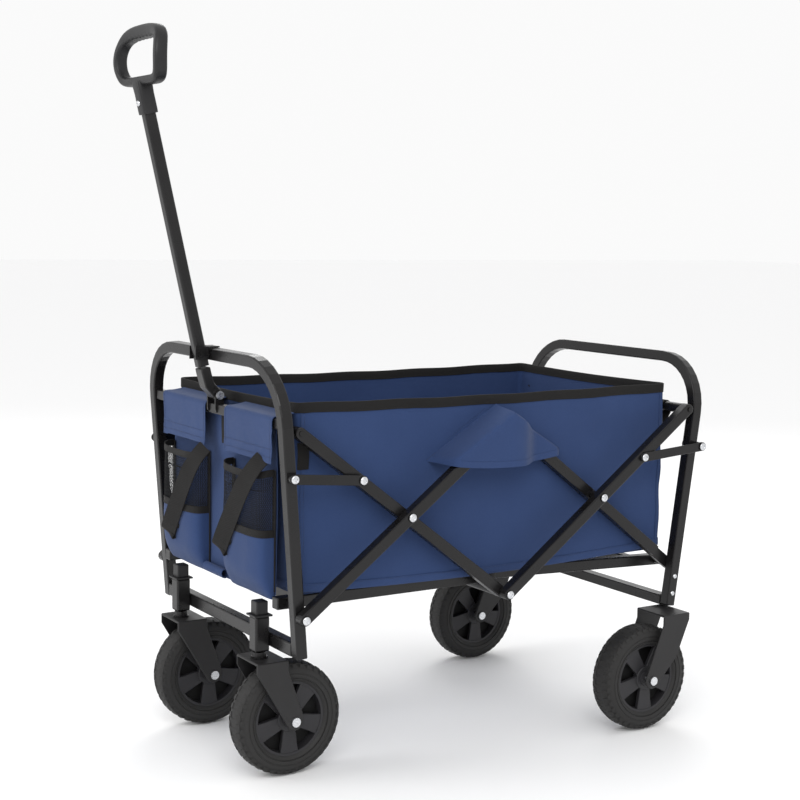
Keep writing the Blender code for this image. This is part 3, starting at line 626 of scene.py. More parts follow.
def board_half(name, x0, x1):
    """Two of the board's four panels in their cover."""
    nx_, ny_ = 66, 56
    du, dv, side_v = 0.0056, 0.0074, 0.005  # steps of the cover's UVs, in metres
    bm, uvl = new_bm()
    tops, lows = [], []
    for x in spread(x0, x1, nx_):
        ys = spread(-FY, FY, ny_)
        tops.append([bm.verts.new(P(x, y, BOARD_LOW + board_z(x, y))) for y in ys])
        lows.append([bm.verts.new(P(x, y, BOARD_LOW)) for y in ys])

    def edge(ids, first, a, b):
        face_uv(bm, uvl, ids if first else ids[::-1], [(a, 0), (b, 0), (b, side_v), (a, side_v)])

    for i in range(nx_):
        u0, u1 = i * du, (i + 1) * du
        for j in range(ny_):
            v0, v1 = j * dv, (j + 1) * dv
            q = [(u0, v0), (u1, v0), (u1, v1), (u0, v1)]
            face_uv(bm, uvl, [tops[i][j], tops[i + 1][j], tops[i + 1][j + 1], tops[i][j + 1]], q)
            face_uv(bm, uvl, [lows[i][j + 1], lows[i + 1][j + 1], lows[i + 1][j], lows[i][j]], q[::-1])
        for j in (0, ny_):
            edge([lows[i][j], lows[i + 1][j], tops[i + 1][j], tops[i][j]], j == 0, u0, u1)
    for j in range(ny_):
        for i in (0, nx_):
            edge([lows[i][j + 1], lows[i][j], tops[i][j], tops[i][j + 1]], i == 0,
                 j * dv, (j + 1) * dv)
    return finish_mesh(name, bm, LINING, True, 50)


board_halves = [board_half("floor_board_front", FX0, -SPLIT), board_half("floor_board_rear", SPLIT, FX1)]
board_threads = []
for name, sgn in (("front", -1), ("rear", 1)):
    runs = []
    for k in ((1, 2) if sgn < 0 else (2, 3)):
        for o in (-0.0075, 0.0075):
            x = FX0 + (FX1 - FX0) * k / 4 + o
            if x * sgn > 0:
                runs.append([P(x, y, BOARD_THREAD) for y in spread(0.008 - FY, FY - 0.008, 40)])
    for s in (-1, 1):
        runs.append([P(sgn * x, s * (FY - 0.011), BOARD_THREAD) for x in spread(0.010, FX1 - 0.012, 60)])
    board_threads.append(stitches("floor_board_stitching_" + name,
                                  [(r, Vector((0, 0, 1))) for r in runs], THREAD))

# ---- side flaps
T_X, T_LOW, T_APEX, T_RAMP = 0.139, 0.505, 0.5905, 0.0085
T_SLOPE = (T_APEX - T_LOW) / T_X
T_WALL = BIN_Y + 0.0009
T_FULL = 0.2725 + 0.0002 - T_WALL
INNER_BAR = 0.0275


def tent_low(x):
    return T_LOW - 0.0115 * (1 - (min(abs(x), T_X) / T_X) ** 2.2) - 0.0012


def tent_full(x):
    """How far the flap stands out: most over the outer bar, nothing at its tips."""
    side = T_FULL + (INNER_BAR - T_FULL) * ease((x - 0.016) / 0.050)
    return side * ease((T_X - 0.001 - abs(x)) / 0.030)


def tent_y(x, z):
    """Distance of the flap from the middle plane."""
    top = T_APEX - abs(x) * T_SLOPE
    d = (top - z) * cos(atan(T_SLOPE))
    f = ease(d / T_RAMP)
    fall = 0.0022 * (1 - exp(-max(0, d - T_RAMP) / 0.02))
    crease = 0.0009 * exp(-((x - 0.004) / 0.012) ** 2) * (1 if d > T_RAMP else 0)
    w = 0.0007 * wave(x, z, 9, 30)
    return T_WALL + tent_full(x) * f + f * (max(0, w) + crease + fall * max(0, 1 - abs(x) / 0.1))


tents = []
for tag, s in SIDES:
    cols = [-(T_X - 0.0015) * sin(pi / 2 * (1 - k / 30)) for k in range(30)]
    cols = cols + [0] + [-c for c in cols[::-1]]
    grid = []
    for x in cols:
        top = T_APEX - abs(x) * T_SLOPE
        low = tent_low(x)
        col = []
        for j in range(27):
            z = top - (top - low) * (j / 26) ** 1.6
            col.append(P(x, s * tent_y(x, z), z))
        if s > 0:
            col = col[::-1]
        grid.append(col)
    piece = cloth("side_flap_cloth_" + tag, grid, 0.0011, BLUE)
    runs = []
    for off in (0.0030, 0.0085):
        pts = []
        for x in cols:
            z = tent_low(x) + off
            if z < T_APEX - abs(x) * T_SLOPE - 0.003:
                pts.append(P(x, s * (tent_y(x, z) + 0.0008), z))
        runs.append((pts, Vector((0, s, 0))))
    hem_pts = [(x, tent_low(x)) for x in cols if abs(x) < T_X - 0.012]
    fold = cloth("side_flap_hem_" + tag, [[P(x, s * (tent_y(x, z + o) + 0.0009), z + o) for o in
                                          ((0.0002, 0.0055, 0.0105) if s < 0 else (0.0105, 0.0055, 0.0002))]
                                         for x, z in hem_pts], 0.0007, BLUE)
    for side in (-1, 1):
        pts = []
        for k in range(60):
            x = side * (0.002 + (T_X - 0.004) * k / 59)
            z = T_APEX - abs(x) * T_SLOPE
            if z > TOP - 0.018:
                continue
            pts.append(P(x, s * (T_WALL + 0.0012), z - 0.0004))
        runs.append((pts, Vector((0, s, 0))))
    thread = stitches("side_flap_stitching_" + tag, runs, THREAD)
    seam_runs = []
    for side in (-1, 1):
        pts = []
        for k in range(40):
            x = side * (0.020 + (T_X - 0.012 - 0.020) * k / 39)
            z = T_APEX + 0.003 - abs(x) * T_SLOPE
            d = min(0.0016, wall_push(x, -s * BIN_Y, z))
            pts.append(P(x, s * (BIN_Y - 0.0009 + max(d, 0) + 0.0013), z))
        seam_runs.append(band("side_flap_seam_%s_%s" % (tag, "front" if side < 0 else "rear"), pts,
                              Vector((side * T_SLOPE, 0, 1)), 0.0050, 0.0008, BLUE, 0.006, 3))
    tents.append((piece, fold, thread, seam_runs))

# ---- front apron
AX = -0.3976
grid = []
for i in range(49):
    y = -0.190 + 0.380 * i / 48
    col = []
    for j in range(30):
        z = 0.2985 + (0.5850 - 0.2985) * j / 29
        t = (z - 0.2985) / 0.2865
        hang = sin(pi * t)
        col.append(P(AX + 0.00378 * hang * (0.5 + 0.5 * wave(y, z, 11, 9)) + 0.0004, y, z))
    grid.append(col[::-1])
apron = cloth("front_apron_cloth", grid, 0.0011, BLUE)
runs = [([P(AX - 0.0001, -0.188 + 0.376 * k / 60, 0.3085) for k in range(61)], Vector((-1, 0, 0)))]
apron_thread = stitches("front_apron_stitching", runs, THREAD)
# folded roll along the bottom of the apron
grid = []
for y in spread(-0.030, 0.042, 60):
    col = []
    for a in spread(0, 2 * pi, 11):
        r = 0.0065 + 0.0006 * wave(y, a, 12, 14)
        col.append(P(AX - 0.0085 - r * cos(a), y, 0.3085 + r * 1.15 * sin(a)))
    grid.append(col)
roll = cloth("front_apron_roll", grid, 0.0011, BLUE)

# ---- front flaps
FLAPS = {"near": (-0.214, -0.050), "far": (0.022, 0.186)}
flaps = []


def flap_profile(low):
    """Path of a flap from the bin's front wall, over the upper crossbar and down."""
    path = ((-0.3792, 0.5945), (-0.3860, 0.5930), (-0.3960, 0.5912), (-0.4065, 0.5906),
            (-0.4130, 0.5898), (-0.4166, 0.5862), (-0.4176, 0.5800), (-0.4174, 0.5650),
            (-0.4172, 0.5400), (-0.4180, low))
    return smooth_path([Vector((x, 0, z)) for x, z in path], 8)


for tag, s in SIDES:
    y0, y1 = FLAPS[tag]
    grid = []
    k = 34
    for i in range(k + 1):
        u = i / k
        y = y0 + (y1 - y0) * u
        prof = flap_profile(0.5175 + (0.0015 if 0.1 < u < 0.9 else 0.0))
        col = []
        for j, q in enumerate(prof):
            t = j / (len(prof) - 1)
            yy = y
            if s > 0:
                yy += 0.010 * max(0, 1 - abs(t - 0.35) / 0.5) * u
            drop = max(0, t - 0.45) / 0.55
            w = (0.0022 * wave(yy, q.z, 14 + s, 22) + 0.0010 * wave(yy, t, 15 + s, 60)) * drop
            col.append(P(q.x - abs(w) - 0.0002, yy, q.z + 0.0004 * abs(wave(yy, t, 16, 40))))
        grid.append(col[::-1])
    f = cloth("front_flap_cloth_" + tag, grid, 0.0011, BLUE)
    rows = [[g[4] for g in grid], [g[8] for g in grid], grid[1][:34], grid[-2][:34]]
    runs = [([p + Vector((-0.0008, 0, 0)) for p in row], Vector((-1, 0, 0))) for row in rows]
    th = stitches("front_flap_stitching_" + tag, runs, THREAD)
    flaps.append((f, th))

# ---- pouches
POUCH_Z0, POUCH_SPLIT, POUCH_Z1 = 0.2990, 0.4030, 0.5040


def pouch_section(s, z, n=44):
    """Outline of a pouch at a height, from its inner edge on the apron to its outer edge."""
    yi, yo = 0.046, 0.188
    xb, xf = -0.3989, -0.4292
    t = (z - POUCH_Z0) / (POUCH_Z1 - POUCH_Z0)
    depth = 1.0
    if t < 0.22:
        depth = 0.20 + 0.80 * sin(pi / 2 * t / 0.22) ** 0.8
    depth *= 0.93 + 0.07 * sin(pi * min(1, t * 1.05))
    out = []
    for k in range(n + 1):
        a = pi * k / n
        c, q = cos(a), sin(a)
        bulge = abs(q) ** 0.42
        yy = (yi + yo) / 2 - (yo - yi) / 2 * copysign(abs(c) ** 0.75, c)
        dip = 0.006 * sin(pi * k / n) if t > 0.85 else 0
        w = 0.0018 * wave(yy, z, 20 + s, 28) * q
        xx = xb - (xb - xf - 0.0014) * bulge * depth + w
        xx = max(xf - 0.0004, min(xb, xx))
        out.append(P(xx, s * yy, z - dip))
    return out


pouches = []
for tag, s in SIDES:
    grid = [pouch_section(s, z) for z in spread(POUCH_Z0, POUCH_SPLIT, 22)]
    if s > 0:
        grid = [row[::-1] for row in grid]
    low = cloth("pouch_lower_" + tag, [list(c) for c in zip(*grid)], 0.0011, BLUE)
    # bottom closure: from the front of the section back to the apron
    base = pouch_section(s, POUCH_Z0)
    strip_grid = []
    for p in base:
        strip_grid.append([p + Vector((0, 0, 0.0003)),
                           Vector((P(-0.3989, 0, 0).x, p.y, POUCH_Z0 + 0.0003))])
    if s < 0:
        strip_grid = [r[::-1] for r in strip_grid]
    bottom = cloth("pouch_bottom_" + tag, strip_grid, 0.0010, BLUE)

    # net: a woven lattice with real holes
    z0, z1 = POUCH_SPLIT - 0.004, POUCH_Z1 - 0.003
    n_z = 34
    rows_ = [pouch_section(s, z0 + (z1 - z0) * k / n_z, 180) for k in range(n_z + 1)]
    length = sum((a - b).length for a, b in zip(rows_[10], rows_[10][1:]))
    cols_n = int(length / 0.0031)
    grid = []
    for row in rows_:
        pts = resample(row, sum((a - b).length for a, b in zip(row, row[1:])) / cols_n * 0.99999)
        grid.append(pts[:cols_n + 1])
    bm, uvl = new_bm()
    wdt = 0.00040
    nz = len(grid)
    nc = min(len(r) for r in grid)

    def cord_quad(a, b, nrm_, wd):
        t = (b - a).normalized()
        sd = t.cross(nrm_).normalized() * wd
        up = nrm_ * wd * 0.55
        v = [bm.verts.new(q) for q in (a + sd, a + up, a - sd, a - up, b + sd, b + up, b - sd, b - up)]
        for q in range(4):
            p = (q + 1) % 4
            bm.faces.new([v[q], v[p], v[p + 4], v[q + 4]])
        bm.faces.new([v[3], v[2], v[1], v[0]])
        bm.faces.new([v[4], v[5], v[6], v[7]])

    for i in range(nz):
        for j in range(nc):
            a = grid[i][j]
            out = Vector((-1, 0, 0))
            if j + 1 < nc:
                out = (grid[i][j + 1] - a).cross(Vector((0, 0, 1))).normalized()
                if out.x > 0:
                    out = -out
            if i + 1 < nz:
                k = j + (1 if i % 2 == 0 else 0)
                if k < nc:
                    cord_quad(a, grid[i + 1][k], out, wdt)
                k = j + (0 if i % 2 == 0 else -1)
                if 0 <= k:
                    cord_quad(a, grid[i + 1][k], out, wdt)
    net = closed_mesh("pouch_net_" + tag, bm, NET, False)

    def tape_row(za, zb, out, count=5):
        g = []
        a = [pouch_section(s, za + (zb - za) * k / (count - 1)) for k in range(count)]
        for col in zip(*a):
            c = [p + Vector((-out, 0, 0)) for p in col]
            g.append(c if s < 0 else c[::-1])
        return g

    top_out = cloth("pouch_rim_" + tag,
                    tape_row(POUCH_Z1 - 0.0105, POUCH_Z1 + 0.0005, 0.0006), 0.0018, TAPE)
    low_tape = cloth("pouch_border_" + tag,
                     tape_row(POUCH_SPLIT - 0.0060, POUCH_SPLIT + 0.0060, 0.0006), 0.0016, TAPE)
    sides = []
    for yy, nm in ((0.0465, "inner"), (0.1875, "outer")):
        path = [P(-0.3990, s * yy, z) for z in spread(POUCH_Z0 + 0.012, POUCH_Z1 - 0.001, 20)]
        sides.append(band("pouch_edge_%s_%s" % (nm, tag), path, Vector((0, 1, 0)), 0.0090, 0.0011,
                          TAPE, 0.008, 3))
    runs = []
    for z in (POUCH_SPLIT - 0.0042, POUCH_SPLIT + 0.0042, POUCH_Z1 - 0.0088):
        runs.append(([p + Vector((-0.0017, 0, 0)) for p in pouch_section(s, z)[3:-3]], Vector((-1, 0, 0))))
    th = stitches("pouch_stitching_" + tag, runs, THREAD_K)
    pouches.append((low, bottom, net, top_out, low_tape, sides, th))

# ---- webbing straps at the front
STRAPS = {"near": ((-0.184, 0.5150), (-0.072, 0.3650)), "far": ((0.022, 0.5050), (0.128, 0.3560))}
straps = []
for tag, s in SIDES:
    (ya, za), (yb, zb) = STRAPS[tag]
    d = Vector((0, yb - ya, zb - za)).normalized()
    a = P(-0.4205, ya, za) - d * 0.004
    path = [a - Vector((0, 0, -0.006)) + Vector((0.0016, 0, 0)), a + d * 0.012 + Vector((-0.0095, 0, 0)),
            P(-0.4372, ya, za) + d * 0.045, P(-0.4388, ya, za) + d * 0.095,
            P(-0.4386, yb, zb) - d * 0.030, P(-0.4378, yb, zb) - d * 0.002]
    path = smooth_path(path, 10)
    side_dir = Vector((-0.42, -d.z, d.y)).normalized()

    def lean(t):
        """The strap's sideways direction: it tips outward a third of the way down."""
        flat = Vector((0, side_dir.y, side_dir.z)).lerp(side_dir, min(1, t * 3.2))
        return flat + Vector((0.06 * sin(t * 5.2), 0, 0))

    st = band("front_strap_web_" + tag, path, lean, 0.0310, 0.0015, TAPE, 0.004, 7)
    # folded end loop
    e = P(-0.4378, yb, zb)
    loop_pts = []
    for t in spread(0, pi, 14):
        loop_pts.append(e + d * (0.0062 * sin(t) - 0.002) + Vector((0.0032 - 0.0034 * cos(t), 0, 0)))
    loop_pts += [loop_pts[-1] - d * 0.012, loop_pts[-1] - d * 0.024 + Vector((-0.0042, 0, 0))]
    lp = band("front_strap_loop_" + tag, loop_pts, side_dir, 0.0310, 0.0014, TAPE, 0.0015, 7)
    runs = []
    for off in (0.016, 0.020):
        c = P(-0.4392, yb, zb) - d * off
        runs.append(([c + side_dir * w for w in (-0.0105, -0.005, 0, 0.005, 0.0105)], Vector((-1, 0, 0))))
    th = stitches("front_strap_stitching_" + tag, runs, THREAD_K, 0.0034, 0.0026)
    straps.append((st, lp, th))

# strip of webbing behind the lever and the one behind the near front leg
keeper = smooth_path([P(-0.3991, -0.012, 0.578), P(-0.3996, -0.013, 0.553),
                      P(-0.3992, -0.014, 0.523)], 8)
strip_mid = band("front_keeper_strap", keeper, Vector((0, 1, 0)), 0.0200, 0.0012, TAPE, 0.005, 5)
corner_straps = []
for tag, s in SIDES:
    x = BIN_F + 0.0105
    pts = smooth_path([P(x, s * (BIN_Y + y), z) for y, z in
                       ((0.0016, 0.548), (0.0034, 0.530), (0.0016, 0.506))], 8)
    corner_straps.append(band("corner_web_front_" + tag, pts, Vector((1, 0, 0)), 0.0200, 0.0012,
                              TAPE, 0.005, 5))


def centre_of(node_name):
    lo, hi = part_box(node_name)
    return Vector([(a + b) / 2 for a, b in zip(lo, hi)])


# rear corner hanging loops round the rear cross tube
tube = centre_of("rear_cross_tube")
loops_rear = []
wall_x = BIN_R + DX + 0.0018
for tag, s in SIDES:
    y = s * (BIN_Y - 0.020)
    r = 0.0104
    pts = [(wall_x, -0.060), (wall_x, -0.030)]
    pts += [(tube.x + r * cos(a), r * sin(a)) for a in spread(pi, 0, 12)]
    pts += [(tube.x + r, -0.012), (wall_x + 0.0030, -0.034), (wall_x + 0.0018, -0.058)]
    loops_rear.append(band("rear_hanging_loop_" + tag, [Vector((x, y, tube.z + h)) for x, h in pts],
                           Vector((0, 1, 0)), 0.0250, 0.0013, TAPE, 0.003, 6))

# ---- bolt heads
def swept(bm, rings, closed=False, caps=True):
    """Joins rings of points into a closed skin."""
    vs = [[bm.verts.new(p) for p in r] for r in rings]
    n = len(vs)
    for i in range(n if closed else n - 1):
        a, b = vs[i], vs[(i + 1) % n]
        k = len(a)
        for q in range(k):
            bm.faces.new([a[q], a[(q + 1) % k], b[(q + 1) % k], b[q]])
    if caps and not closed:
        bm.faces.new(vs[0][::-1])
        bm.faces.new(vs[-1])


def turned(name, centre, axis, profile, mat, seg=28, sharp=40):
    """Profile of (radius, height) pairs turned about an axis."""
    axis = Vector(axis).normalized()
    e1 = Vector((0, 0, 1)) if abs(axis.z) < 0.9 else Vector((1, 0, 0))
    e1 = (e1 - axis * e1.dot(axis)).normalized()
    e2 = axis.cross(e1)
    bm, uvl = new_bm()
    rings = []
    for r, h in profile:
        rings.append([Vector(centre) + axis * h + (e1 * cos(a) + e2 * sin(a)) * max(r, 0.00004)
                      for a in [2 * pi * k / seg for k in range(seg)]])
    swept(bm, rings)
    return closed_mesh(name, bm, mat, True, sharp)


def outer_face(x, z, s, reach=0.0055, skip=()):
    """Outermost CAD point near a place on one side of the cart, and the node it is on."""
    best, who = -1, None
    c = P(x, 0, z)
    for nm, node in NODES.items():
        if nm in skip or nm.startswith(("side_flap", "tyre", "bin")):
            continue
        lo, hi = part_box(nm)
        if not (lo[0] - 0.01 <= c.x <= hi[0] + 0.01 and lo[2] - 0.01 <= c.z <= hi[2] + 0.01):
            continue
        mw = node.matrix_world
        for v in node.data.vertices:
            q = mw @ v.co
            if s * q.y > best and hypot(q.x - c.x, q.z - c.z) < reach:
                best, who = s * q.y, nm
    return best, who


FX_LINK = -0.3857 - 0.0776 * (0.4993 - 0.281)
RX_LINK = 0.3857 + 0.1374 * (0.4993 - 0.281)
BOLTS = {"front_link_leg": (FX_LINK, 0.4993), "front_link_bar": (-0.2815, 0.4887),
         "cross_front": (-0.1955, 0.4240), "cross_rear": (0.1955, 0.4240),
         "bottom_centre": (0.0, 0.2770), "front_foot": (-0.3857, 0.2810),
         "rear_link_bar": (0.2815, 0.4887), "rear_link_leg": (RX_LINK, 0.4993)}
BOLT = [(0.0066, 0.0012), (0.0067, 0.0018), (0.0064, 0.0024), (0.0056, 0.0030), (0.0044, 0.0034),
        (0.0031, 0.0036), (0.0030, 0.0024), (0.0006, 0.0024)]
SCREW = [(0.0042, 0), (0.0042, 0.0012), (0.0034, 0.0022), (0.0014, 0.0026), (0.0012, 0.0018),
         (0.0003, 0.0018)]
for tag, s in SIDES:
    for nm, (x, z) in BOLTS.items():
        y, who = outer_face(x, z, s, 0.0085)
        if who is None:
            continue
        head = turned("bolt_%s_%s" % (nm, tag), P(x, s * (y - 0.0016), z), (0, s, 0), BOLT, ZINC, 28, 38)
        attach(head, list(body_of(NODES[who]))[0])
    for nm, z in (("rear_leg_upper", 0.262), ("rear_leg_lower", 0.2310)):
        c = P(0.3857 + 0.1374 * (z - 0.281), s * (0.2403 + 0.0095 - 0.0004), z)
        head = turned("screw_%s_%s" % (nm, tag), c, (0, s, 0), SCREW, ZINC, 20, 38)
        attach(head, "rear_frame")

# ---- wheels
TYRE_W, RIM_R = 0.0455, 0.0600
# tread rows: inner and outer y, the radius at each, and the lead round the tyre
TREAD = ((-0.0185, -0.0085, 0.0908, 0.0932, 0.0), (-0.0070, 0.0070, 0.0919, 0.0933, 0.5),
         (0.0085, 0.0185, 0.0932, 0.0908, 0.0), (-0.0216, -0.0192, 0.0862, 0.0902, 0.5),
         (0.0192, 0.0216, 0.0902, 0.0862, 0.5))


def wheel_set(kind, tag):
    c = centre_of("tyre_%s_%s" % (kind, tag))
    h = TYRE_W / 2

    def hoop(bm, prof, seg):
        """Turns a closed (radius, y) profile about the wheel's axis."""
        swept(bm, [[c + Vector((cos(a) * r, y, sin(a) * r)) for r, y in prof]
                   for a in [2 * pi * k / seg for k in range(seg)]], True)

    prof = [(RIM_R, -h * 0.70), (RIM_R + 0.0022, -h * 0.84), (0.0665, -h * 0.93), (0.0670, -h * 0.89),
            (0.0685, -h * 0.89), (0.0690, -h * 0.96), (0.0740, -h * 0.985), (0.0745, -h * 0.95),
            (0.0760, -h * 0.95), (0.0765, -h * 0.985), (0.0820, -h * 0.955), (0.0872, -h * 0.86),
            (0.0902, -h * 0.70), (0.0915, -h * 0.52), (0.0919, -h * 0.3), (0.0921, 0)]
    bm, uvl = new_bm()
    hoop(bm, prof + [(r, -y) for r, y in prof[-2::-1]], 96)
    # tread blocks
    count = 40
    for k in range(count):
        for y0, y1, r0, r1, lead in TREAD:
            a0 = 2 * pi * (k + lead) / count
            w = 2 * pi / count * 0.36
            pts = []
            for lift in (-0.0016, 0.0):
                sh = 1.0 if lift < 0 else 0.86
                for aa, yy, rr in ((-w, y0, r0), (w, y0, r0),
                                   (w * 0.8 + 0.012, y1, r1), (-w * 0.8 + 0.012, y1, r1)):
                    ym = (y0 + y1) / 2
                    an = a0 + 0.006 + (aa - 0.006) * sh
                    r = rr + lift
                    pts.append(c + Vector((cos(an) * r, ym + (yy - ym) * sh, sin(an) * r)))
            v = [bm.verts.new(q) for q in pts]
            for f in ((0, 1, 2, 3), (7, 6, 5, 4), (0, 4, 5, 1), (1, 5, 6, 2), (2, 6, 7, 3), (3, 7, 4, 0)):
                bm.faces.new([v[i] for i in f])
    tyre = closed_mesh("tyre_%s_%s_treaded" % (kind, tag), bm, RUBBER, True, 32)
    # hub: two spoked faces, a web between them painted near black as the shade seen through the spokes, and
    # the barrel
    bm, uvl = new_bm()

    def plate(loop2, y0, y1, inset=0.0008):
        mid = Vector((sum(p[0] for p in loop2) / len(loop2), sum(p[1] for p in loop2) / len(loop2)))
        rings = []
        for y, k in ((y0, 0), (y1 - copysign(inset, y1 - y0), 0), (y1, inset)):
            rr = []
            for px, pz in loop2:
                d = Vector((px, pz)) - mid
                q = mid + d * (1 - k / max(d.length, 1e-6))
                rr.append(c + Vector((q.x, y, q.y)))
            rings.append(rr)
        swept(bm, rings)

    wedge = ((0.0185, 34), (0.0300, 24.0), (0.0440, 18.5), (0.0580, 16.5))
    for side in (-1, 1):
        for k in range(5):
            m = radians(54 + 72 * k)
            polar = [(r, m - radians(g)) for r, g in wedge] + [(0.0585, m)]
            polar += [(r, m + radians(g)) for r, g in reversed(wedge)]
            plate([(r * cos(a), r * sin(a)) for r, a in polar], side * 0.0100, side * 0.0168)
    hoop(bm, ((0.0572, -0.0175), (0.0612, -0.0180), (0.0612, 0.0180), (0.0572, 0.0175),
              (0.0560, 0.0120), (0.0556, 0.0), (0.0560, -0.0120)), 72)
    for side in (-1, 1):
        hoop(bm, [(r, side * y) for r, y in
                  ((0.0052, 0.008), (0.0212, 0.008), (0.0212, 0.0176), (0.0200, 0.0186),
                   (0.0135, 0.0190), (0.0130, 0.0206), (0.0052, 0.0206))], 40)
    hub = closed_mesh("hub_%s_%s_spoked" % (kind, tag), bm, HUBMAT, True, 32)
    web = turned("hub_%s_%s_web" % (kind, tag), c, (0, 1, 0),
                 [(0.0060, -0.0030), (0.0575, -0.0022), (0.0575, 0.0022), (0.0060, 0.0030)],
                 WEB_SHADE_DARK, 48, 30)
    for o in (tyre, hub, web):
        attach(o, "wheel_%s_%s" % (kind, tag))
    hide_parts("tyre_%s_%s" % (kind, tag))
    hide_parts("hub_%s_%s" % (kind, tag))


for tag, s in SIDES:
    for kind in ("front", "rear"):
        wheel_set(kind, tag)

# ---- grip
GRIP = ((0.0, 1.1000, 0.0070), (0.030, 1.1000, 0.0070), (0.052, 1.1005, 0.0070),
        (0.0665, 1.1055, 0.0066), (0.0755, 1.1180, 0.0062), (0.0785, 1.1340, 0.0060),
        (0.0760, 1.1500, 0.0064), (0.0680, 1.1635, 0.0080), (0.0540, 1.1715, 0.0098),
        (0.0300, 1.1748, 0.0108), (0.0, 1.1755, 0.0110))  # y, z and half width of its half outline


def grip_x(z):
    t = (z - 1.093) / 0.093
    return -0.5330 - 0.0105 * sin(pi * min(1, max(0, t * 1.02))) + 0.0060 * t


fine = smooth_path([Vector(p) for p in GRIP], 7)
loop_pts = fine + [Vector((-q.x, q.y, q.z)) for q in fine[-2:0:-1]]
bm, uvl = new_bm()
rings = []
nn = len(loop_pts)
for i, q in enumerate(loop_pts):
    a, b = loop_pts[i - 1], loop_pts[(i + 1) % nn]
    t = Vector((b.x - a.x, b.y - a.y)).normalized()
    out = Vector((t.y, -t.x))
    ring_pts = []
    hd, hb = 0.0108, q.z
    for k in range(20):
        ang = 2 * pi * k / 20
        ca, sa = cos(ang), sin(ang)
        px = copysign(abs(ca) ** 0.55, ca) * hd
        pb = copysign(abs(sa) ** 0.55, sa) * hb
        if q.y > 1.168 and sa < -0.2 and abs(q.x) < 0.05:
            pb += 0.0014 * (0.5 + 0.5 * cos(q.x / 0.0145 * 2 * pi))
        x = grip_x(q.y) + px
        ring_pts.append(P(x, q.x + out.x * pb, q.y + out.y * pb))
    rings.append(ring_pts)
swept(bm, rings, True)
POLE_FOOT, POLE_HEAD = (-0.4310, 0.640), (-0.5275, 1.0576)
ax = Vector((POLE_HEAD[0] - POLE_FOOT[0], 0, POLE_HEAD[1] - POLE_FOOT[1])).normalized()
e1 = Vector((0, 1, 0))
e2 = ax.cross(e1)


def on_pole(z):
    return P(POLE_FOOT[0] + (z - POLE_FOOT[1]) * ax.x / ax.z, 0, z)


rings = []
for z, h in ((1.0500, 0.0118), (1.0504, 0.0128), (1.0560, 0.0130), (1.0800, 0.0128),
             (1.0960, 0.0135), (1.1010, 0.0120)):
    rings.append([on_pole(z) + e1 * copysign(abs(cos(a)) ** 0.4, cos(a)) * h
                  + e2 * copysign(abs(sin(a)) ** 0.4, sin(a)) * h
                  for a in [2 * pi * (k + 0.5) / 32 for k in range(32)]])
swept(bm, rings)
grip = closed_mesh("handle_grip_moulded", bm, PLASTIC, True, 48)
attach(grip, "handle")
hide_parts("handle_grip")
side_n = Vector((-ax.z, 0, ax.x))
neck_screw = turned("grip_screw", on_pole(1.068) + side_n * 0.0124, side_n,
                    [(0.0046, 0), (0.0046, 0.0014), (0.0036, 0.0028), (0.0018, 0.0032),
                     (0.0016, 0.0022), (0.0004, 0.0022)], ZINC, 20, 38)
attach(neck_screw, "handle")

# ---- riding, folding and replacing
moving_soft = [bin_wall, rim, hem, rim_thread, hem_thread, seam_thread] + corner_parts
moving_soft += corner_straps + loops_rear
for piece, fold, thread, seams in tents:
    moving_soft += [piece, fold, thread] + seams
for o in moving_soft:
    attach(o, "front_hanger")
    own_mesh(o)
for k, b in enumerate(("base_front", "base_rear")):
    for o in (bin_floors[k], board_halves[k], board_threads[k]):
        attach(o, b)
on_front = [apron, apron_thread, roll, strip_mid]
for group in flaps + straps:
    on_front += group
for low, bottom, net, top_out, low_tape, sides, th in pouches:
    on_front += [low, bottom, net, top_out, low_tape, th] + sides
for o in on_front:
    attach(o, "front_frame")

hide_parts("bin")
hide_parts("floor_board")
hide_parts("front_apron")
for (tag, s), tent, flap, pouch, strap in zip(SIDES, tents, flaps, pouches, straps):
    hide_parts("side_flap_" + tag)
    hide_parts("front_flap_" + tag)
    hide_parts("pouch_" + tag)
    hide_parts("front_strap_" + tag)

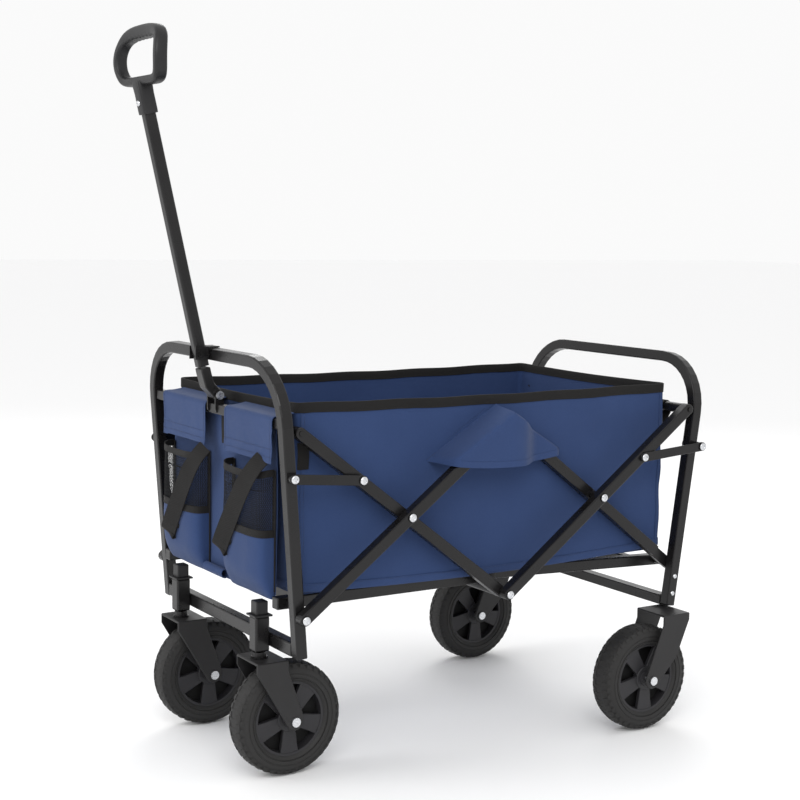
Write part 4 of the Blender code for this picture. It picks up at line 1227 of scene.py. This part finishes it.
# ---- floor, light, camera
world = bpy.data.worlds.new("studio")
world.use_nodes = True
world.node_tree.nodes["Background"].inputs[0].default_value = (1.0, 1.0, 1.0, 1)
world.node_tree.nodes["Background"].inputs[1].default_value = 0.96
bpy.context.scene.world = world
bpy.context.scene.view_settings.view_transform = "Standard"

fmesh = bpy.data.meshes.new("floor")
fmesh.from_pydata([(-30, -30, 0), (30, -30, 0), (30, 30, 0), (-30, 30, 0)], [], [(0, 1, 2, 3)])
floor = placed("studio_floor", fmesh)
floor.location = (0, 0, -0.0006)
fmat, nt, bsdf = new_mat("studio_floor_pale", (0.97, 0.97, 0.972), 0.9)
fmesh.materials.append(fmat)


def area(name, loc, aim, size, power):
    lamp = bpy.data.lights.new(name, "AREA")
    lamp.energy = power
    lamp.shape = "RECTANGLE"
    lamp.size, lamp.size_y = size
    obj = placed(name, lamp)
    obj.location = loc
    obj.rotation_euler = (Vector(aim) - Vector(loc)).to_track_quat("-Z", "Y").to_euler()


area("key_soft", (-1.6, -2.6, 2.6), (0, 0, 0.4), (2.0, 1.6), 46)
area("fill_left", (-3.0, 0.8, 1.6), (0, 0, 0.5), (1.2, 2.2), 26)
area("rim_back", (1.8, 2.4, 2.4), (0, 0, 0.5), (2.0, 1.2), 26)

yaw, pit, rol = radians(-32.5539), radians(-6.729), radians(0.9219)
fw = Vector((-sin(yaw) * cos(pit), cos(yaw) * cos(pit), sin(pit)))
rt0 = Vector((cos(yaw), sin(yaw), 0))
up0 = rt0.cross(fw)
rt = rt0 * cos(rol) + up0 * sin(rol)
up = up0 * cos(rol) - rt0 * sin(rol)
cam_data = bpy.data.cameras.new("view")
cam = placed("view", cam_data)
m4 = Matrix((rt, up, -fw)).transposed().to_4x4()
m4.translation = Vector((-1.456209, -2.2869, 0.885045))
cam.matrix_world = m4
cam_data.sensor_width = 36
cam_data.lens = 69.5757
cam_data.shift_x = -0.00201
cam_data.shift_y = 0.00802
cam_data.clip_end = 100
bpy.context.scene.camera = cam

for (tag, s), tent in zip(SIDES, tents):
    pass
